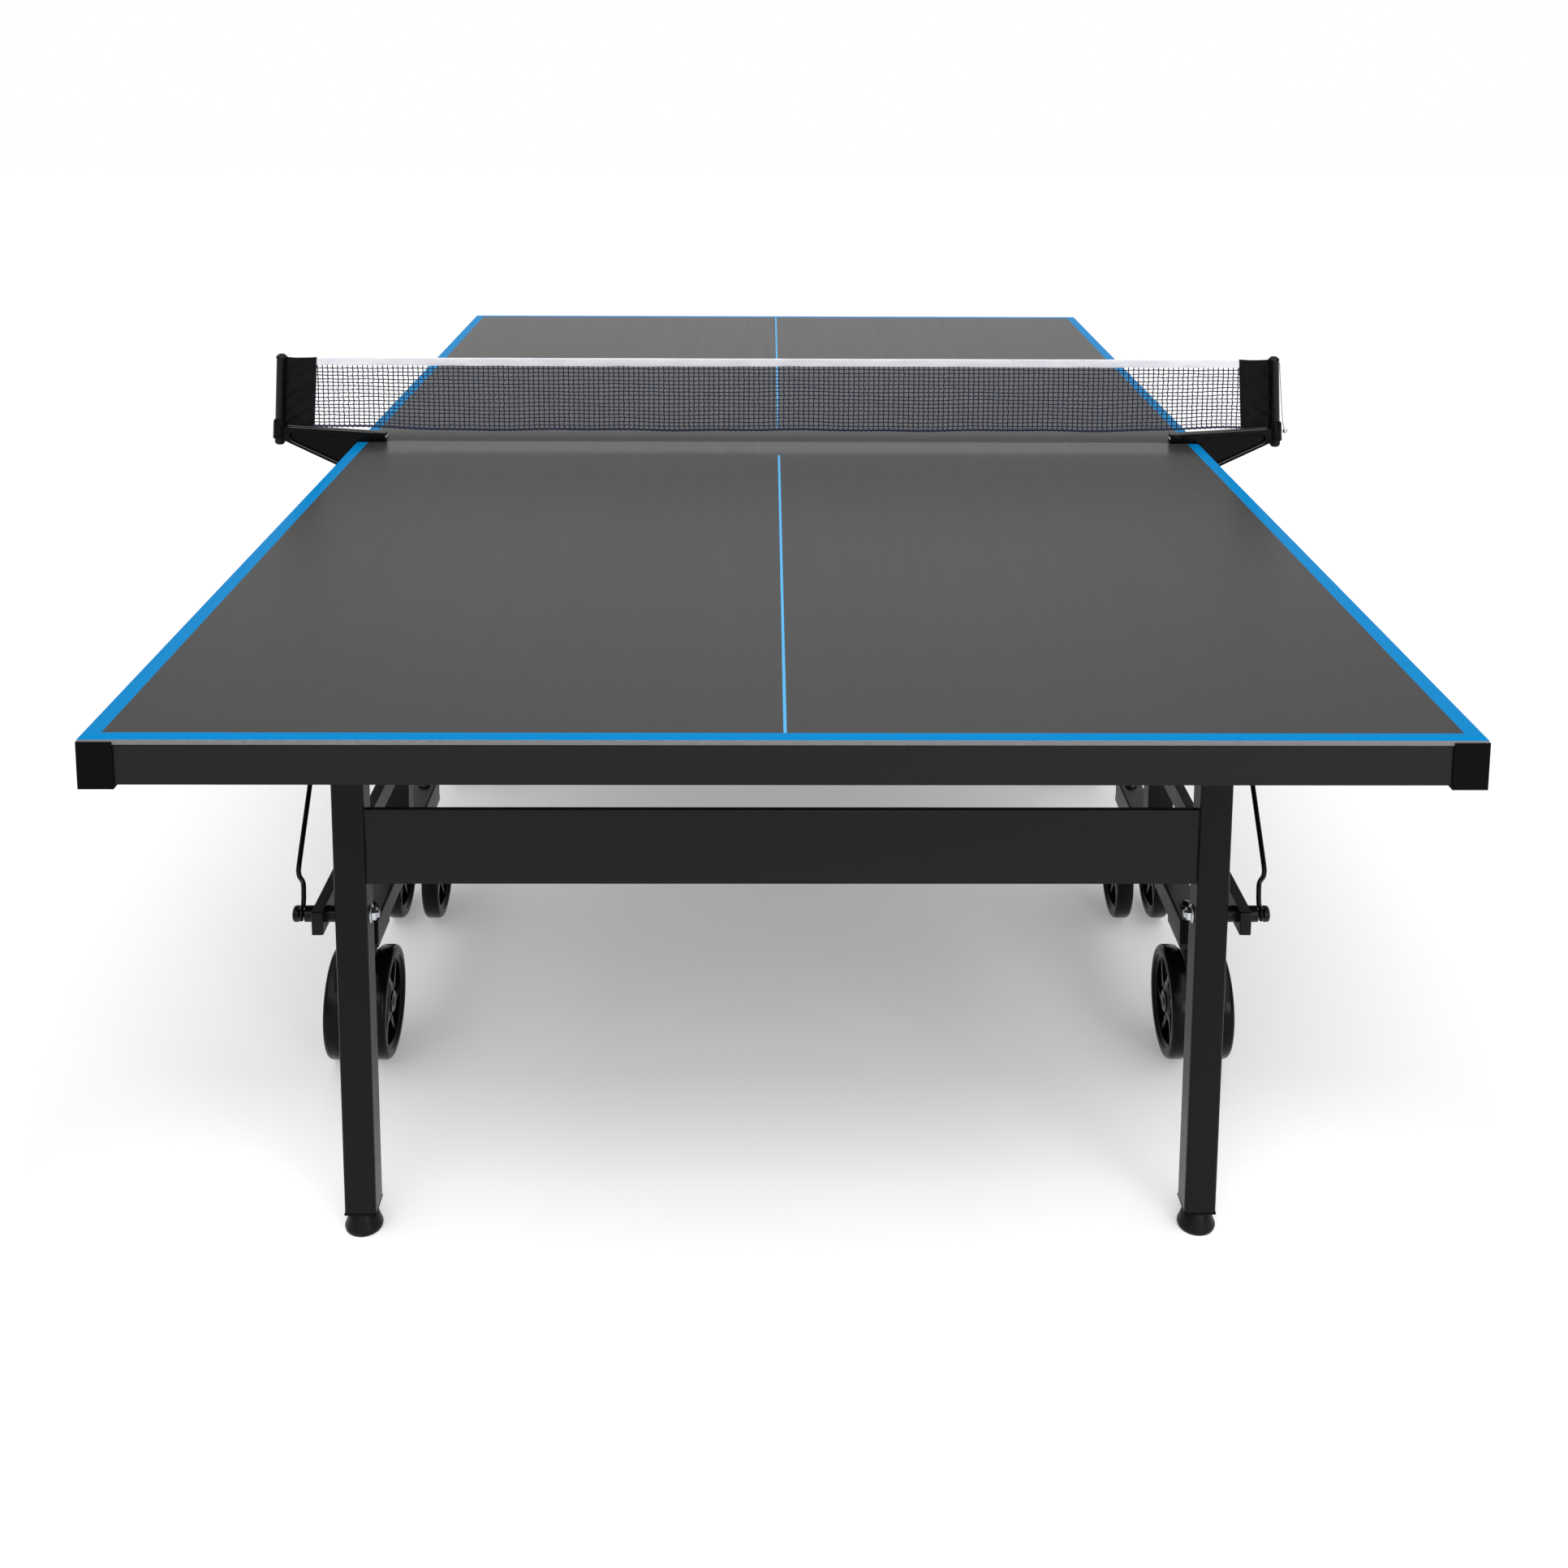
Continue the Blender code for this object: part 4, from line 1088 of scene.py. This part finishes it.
def sleeve(word, side):
    """The black cloth between the post and the netting, with the folds that the tension makes."""
    across, up = SLEEVE_STEPS
    thick = SLEEVE_HALF
    front, back = [], []
    for j in range(up + 1):
        v = j / up
        for i in range(across + 1):
            u = i / across
            x, z = sleeve_place(u, v)
            z -= 0.0012 * v * sin(pi * u)
            folds = sleeve_fold(u, v, side) + 0.0009 * sin(19 * v - 9.0 * u) * sin(pi * u)
            front.append(Vector((side * x, folds - thick, z)))
            back.append(Vector((side * x, folds + thick, z)))
    shape = Shape(front + back)
    row, offset = across + 1, len(front)
    for j in range(up):
        for i in range(across):
            a = j * row + i
            shape.faces.append((a, a + 1, a + row + 1, a + row))
            b = offset + a
            shape.faces.append((b, b + row, b + row + 1, b + 1))
    rim = list(range(across)) + [across + j * row for j in range(up)]
    rim += [up * row + i for i in range(across, 0, -1)] + [j * row for j in range(up, 0, -1)]
    for a, b in zip(rim, rim[1:] + rim[:1]):
        shape.faces.append((a, b, offset + b, offset + a))
    cloth = piece(f"net_sleeve_{word}", shape, "sleeve", "net_set", (), 60)
    hem = Shape()
    for u in (0.045, 0.11):
        line = []
        for j in range(up + 1):
            v = j / up
            x, z = sleeve_place(u, v)
            folds = sleeve_fold(u, v, side)
            line.append((side * x, folds - thick - 0.0001, z))
        hem.add(sweep(line, 0.0003, 5))
    seam = piece(f"net_sleeve_seam_{word}", hem, "sleeve", "net_set", (), 80)


# ---- posts, brackets and the cord ----

POST_FOOT = (0.9035, 0.765)  # X and Z of the foot of a post's axis
POST_HEAD = (0.8945, 0.921)
POST_LENGTH = hypot(POST_HEAD[0] - POST_FOOT[0], POST_HEAD[1] - POST_FOOT[1])
POST_R = 0.0093
SOCKET_LOW, SOCKET_TOP, SOCKET_R = 0.006, 0.036, 0.0125
KNOB_TEETH = 22
KNOB_TIP, KNOB_ROOT = 0.0125, 0.0112
ARM_HALF_WIDTH = 0.009
REST = 0.7603  # the underside of the jaw, just over the top
CORD_ROUTE = (  # (distance up the right post, distance out from its axis)
    (POST_LENGTH - 0.011, 0.0108),
    (POST_LENGTH - 0.060, 0.0123),
    (0.040, 0.0150),
    (0.022, 0.0175),
)
CORD_R = 0.0010
BALL_R = 0.0045


def on_post(side):
    """The matrix that puts the Z axis on a post's leaning axis."""
    lean = atan2(POST_HEAD[0] - POST_FOOT[0], POST_HEAD[1] - POST_FOOT[1])
    return at(side * POST_FOOT[0], 0, POST_FOOT[1]) @ Matrix.Rotation(side * lean, 4, "Y")


def post(word, side):
    """The net post with its domed cap, and the serrated knob under it."""
    r, top = POST_R, POST_LENGTH
    outline = [
        (0.0, SOCKET_TOP - 0.02),
        (0.0050, SOCKET_TOP - 0.02),
        (0.0050, SOCKET_TOP + 0.0003),
        (r - 0.0006, SOCKET_TOP + 0.0003),
        (r, SOCKET_TOP + 0.0012),
        (r, top - 0.0098),
        (r + 0.0007, top - 0.0090),
        (r + 0.0008, top - 0.0060),
        (r + 0.0002, top - 0.0044),
        (r * 0.80, top - 0.0024),
        (r * 0.62, top - 0.0018),
        (r * 0.58, top - 0.0006),
        (r * 0.40, top - 0.0001),
        (0.0, top),
    ]
    node = f"net_post_{word}"
    shape = lathe(outline, 48).moved(on_post(side))
    piece(f"{node}_tube", shape, "post", "net_set", (node,))
    knob = f"height_knob_{word}"
    shape = lathe(
        [
            (0.0, 0.0005),
            (0.0092, 0.0008),
            (0.0094, -0.0010),
            (0.0094, -0.0060),
            (0.0084, -0.0086),
            (0.0062, -0.0106),
            (0.0030, -0.0114),
            (0.0, -0.0115),
        ],
        40,
    )
    outline = []
    for i in range(KNOB_TEETH * 4):
        a = 2 * pi * i / (KNOB_TEETH * 4)
        reach = KNOB_TIP if i % 4 in (0, 1) else KNOB_ROOT
        outline.append((reach * cos(a), reach * sin(a)))
    shape.add(prism(outline, 0.0010, 0.0055))
    piece(f"{knob}_grip", shape.moved(on_post(side)), "plastic", knob, (knob,))


def net_bracket(word, side):
    """The clamp arm: ribs round a recessed web, a split jaw on the top, and the post's socket."""
    node = f"net_bracket_{word}"
    upright = Matrix.Scale(side, 4, (1, 0, 0)) @ Matrix.Rotation(pi / 2, 4, "X")
    rim = [
        (0.7300, REST),
        (0.7300, 0.7783),
        (0.8850, 0.7885),
        (0.8980, 0.7885),
        (0.8980, 0.7640),
        (0.8893, 0.7598),
        (0.7665, 0.7003),
        (0.7648, 0.7003),
        (0.7648, REST),
    ]
    opening = [(0.7712, 0.7098), (0.7712, 0.7708), (0.8835, 0.7775), (0.8835, 0.7635)]
    window = rounded_loop(opening, 0.009)
    w = ARM_HALF_WIDTH
    shape = plate(rim, [window], -w, w, 0.0018, 3)
    web = [(0.7660, 0.7035), (0.7660, 0.7740), (0.8880, 0.7810), (0.8880, 0.7620)]
    shape.add(prism(web, -0.0022, 0.0022))
    prong = [(0.7107, REST), (0.7107, 0.7772), (0.7320, 0.7786), (0.7320, REST)]
    shape.add(plate(prong, [], -w, -0.0018, 0.0014))
    shape.add(plate(prong, [], 0.0018, w, 0.0009))
    inner = [(0.7135, REST), (0.7135, 0.7735), (0.7320, 0.7745), (0.7320, REST)]
    shape.add(prism(inner, -0.0024, 0.0024))
    arm = Shape().add(shape, upright)
    low, high, r = SOCKET_LOW, SOCKET_TOP, SOCKET_R
    socket = [
        (0.0052, low + 0.0002),
        (r - 0.0008, low),
        (r, low + 0.0008),
        (r, high - 0.0060),
        (r - 0.0005, high - 0.0030),
        (r - 0.0018, high - 0.0004),
        (r - 0.0028, high),
        (0.0052, high),
    ]
    arm.add(ring(socket, 48), on_post(side))
    body = piece(f"{node}_arm", arm, "arm", "net_set", (node,), 40)
    body.data.materials.append(MATERIALS["arm_painted_highlight"])
    # painted highlight: the rounded upper edges, but not those on the post's socket, get a paler
    # and glossier copy of the black plastic
    for face in body.data.polygons:
        if 0.3 < abs(face.normal.y) < 0.95 and face.normal.z > 0.15 and abs(face.center.x) < 0.888:
            face.material_index = 1
    head = lathe([(0.0, 0.0), (0.0030, 0.0), (0.0030, 0.0010), (0.0020, 0.0016), (0.0, 0.0018)], 20)
    screws = Shape()
    for y in (-0.0054, 0.0054):
        outward = TO_MINUS_X if side > 0 else TO_X
        screws.add(head, at(side * 0.7108, y, 0.7690) @ outward)
    piece(f"{node}_screws", screws, "zinc", "net_set")


def tension_cord():
    """The cord down the outer side of the right post, with a metal ball on its end."""
    axis = on_post(1)

    def place(height, out):
        return axis @ Vector((0, 0, height)) + Vector((out, 0, 0))

    points = [place(height, out) for height, out in CORD_ROUTE]
    curve = bpy.data.curves.new("net_cord", "CURVE")
    curve.dimensions = "3D"
    curve.bevel_depth = CORD_R
    curve.bevel_resolution = 4
    curve.use_fill_caps = True
    spline = curve.splines.new("POLY")
    line = smooth_path(points, 5)
    spline.points.add(len(line) - 1)
    for point, where in zip(spline.points, line):
        point.co = (*where, 1.0)
    cord = bpy.data.objects.new("net_cord", curve)
    bpy.context.scene.collection.objects.link(cord)
    curve.materials.append(MATERIALS["zinc"])
    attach(cord, "net_set")
    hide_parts("tension_cord")
    centre = place(0.018, 0.0190)
    steps = 16
    turns = [pi / 2 - pi * i / steps for i in range(steps + 1)]
    outline = [(max(BALL_R * cos(a), 0.0), BALL_R * sin(a)) for a in turns]
    ball = piece("net_cord_ball", lathe(outline, 24).moved(at(*centre)), "zinc", "net_set")


# ---- the whole ----


def dress_nodes():
    """Materials and eased edges for the CAD nodes that stay."""
    for name, _ in HALVES:
        # the apron and the cross panel get the paler copy of the powder coat, painted light over
        # them
        dress(f"{name}_apron_frame", "powder_painted_light")
        dress(f"{name}_cross_panel", "powder_painted_light", 0.0009, 3)
        dress(f"{name}_cross_tube", "powder")
        for word, _ in SIDES:
            dress(f"{name}_corner_cap_{word}", "cap", 0.0013, 3)
            dress(f"{name}_leg_{word}", "powder")
            dress(f"{name}_link_bar_{word}", "powder", 0.0004)
            dress(f"{name}_side_frame_{word}", "powder")
            for place in PLACES:
                dress(f"{name}_wheel_bracket_{place}_{word}", "plastic", 0.0006)


def build():
    camera()
    surroundings()
    floor()
    softbox()
    dress_nodes()
    for name, end in HALVES:
        panel(name, end)
        rail_bolts(name)
        tube_plugs(name)
        for word, side in SIDES:
            foot(name, word)
            pivot_bolt(name, word, side)
            lock_rod(name, end, word, side)
            for place in PLACES:
                wheel_pair(name, place, word)
    netting()
    hem_cord()
    top_band()
    for word, side in SIDES:
        sleeve(word, side)
        post(word, side)
        net_bracket(word, side)
    tension_cord()


build()
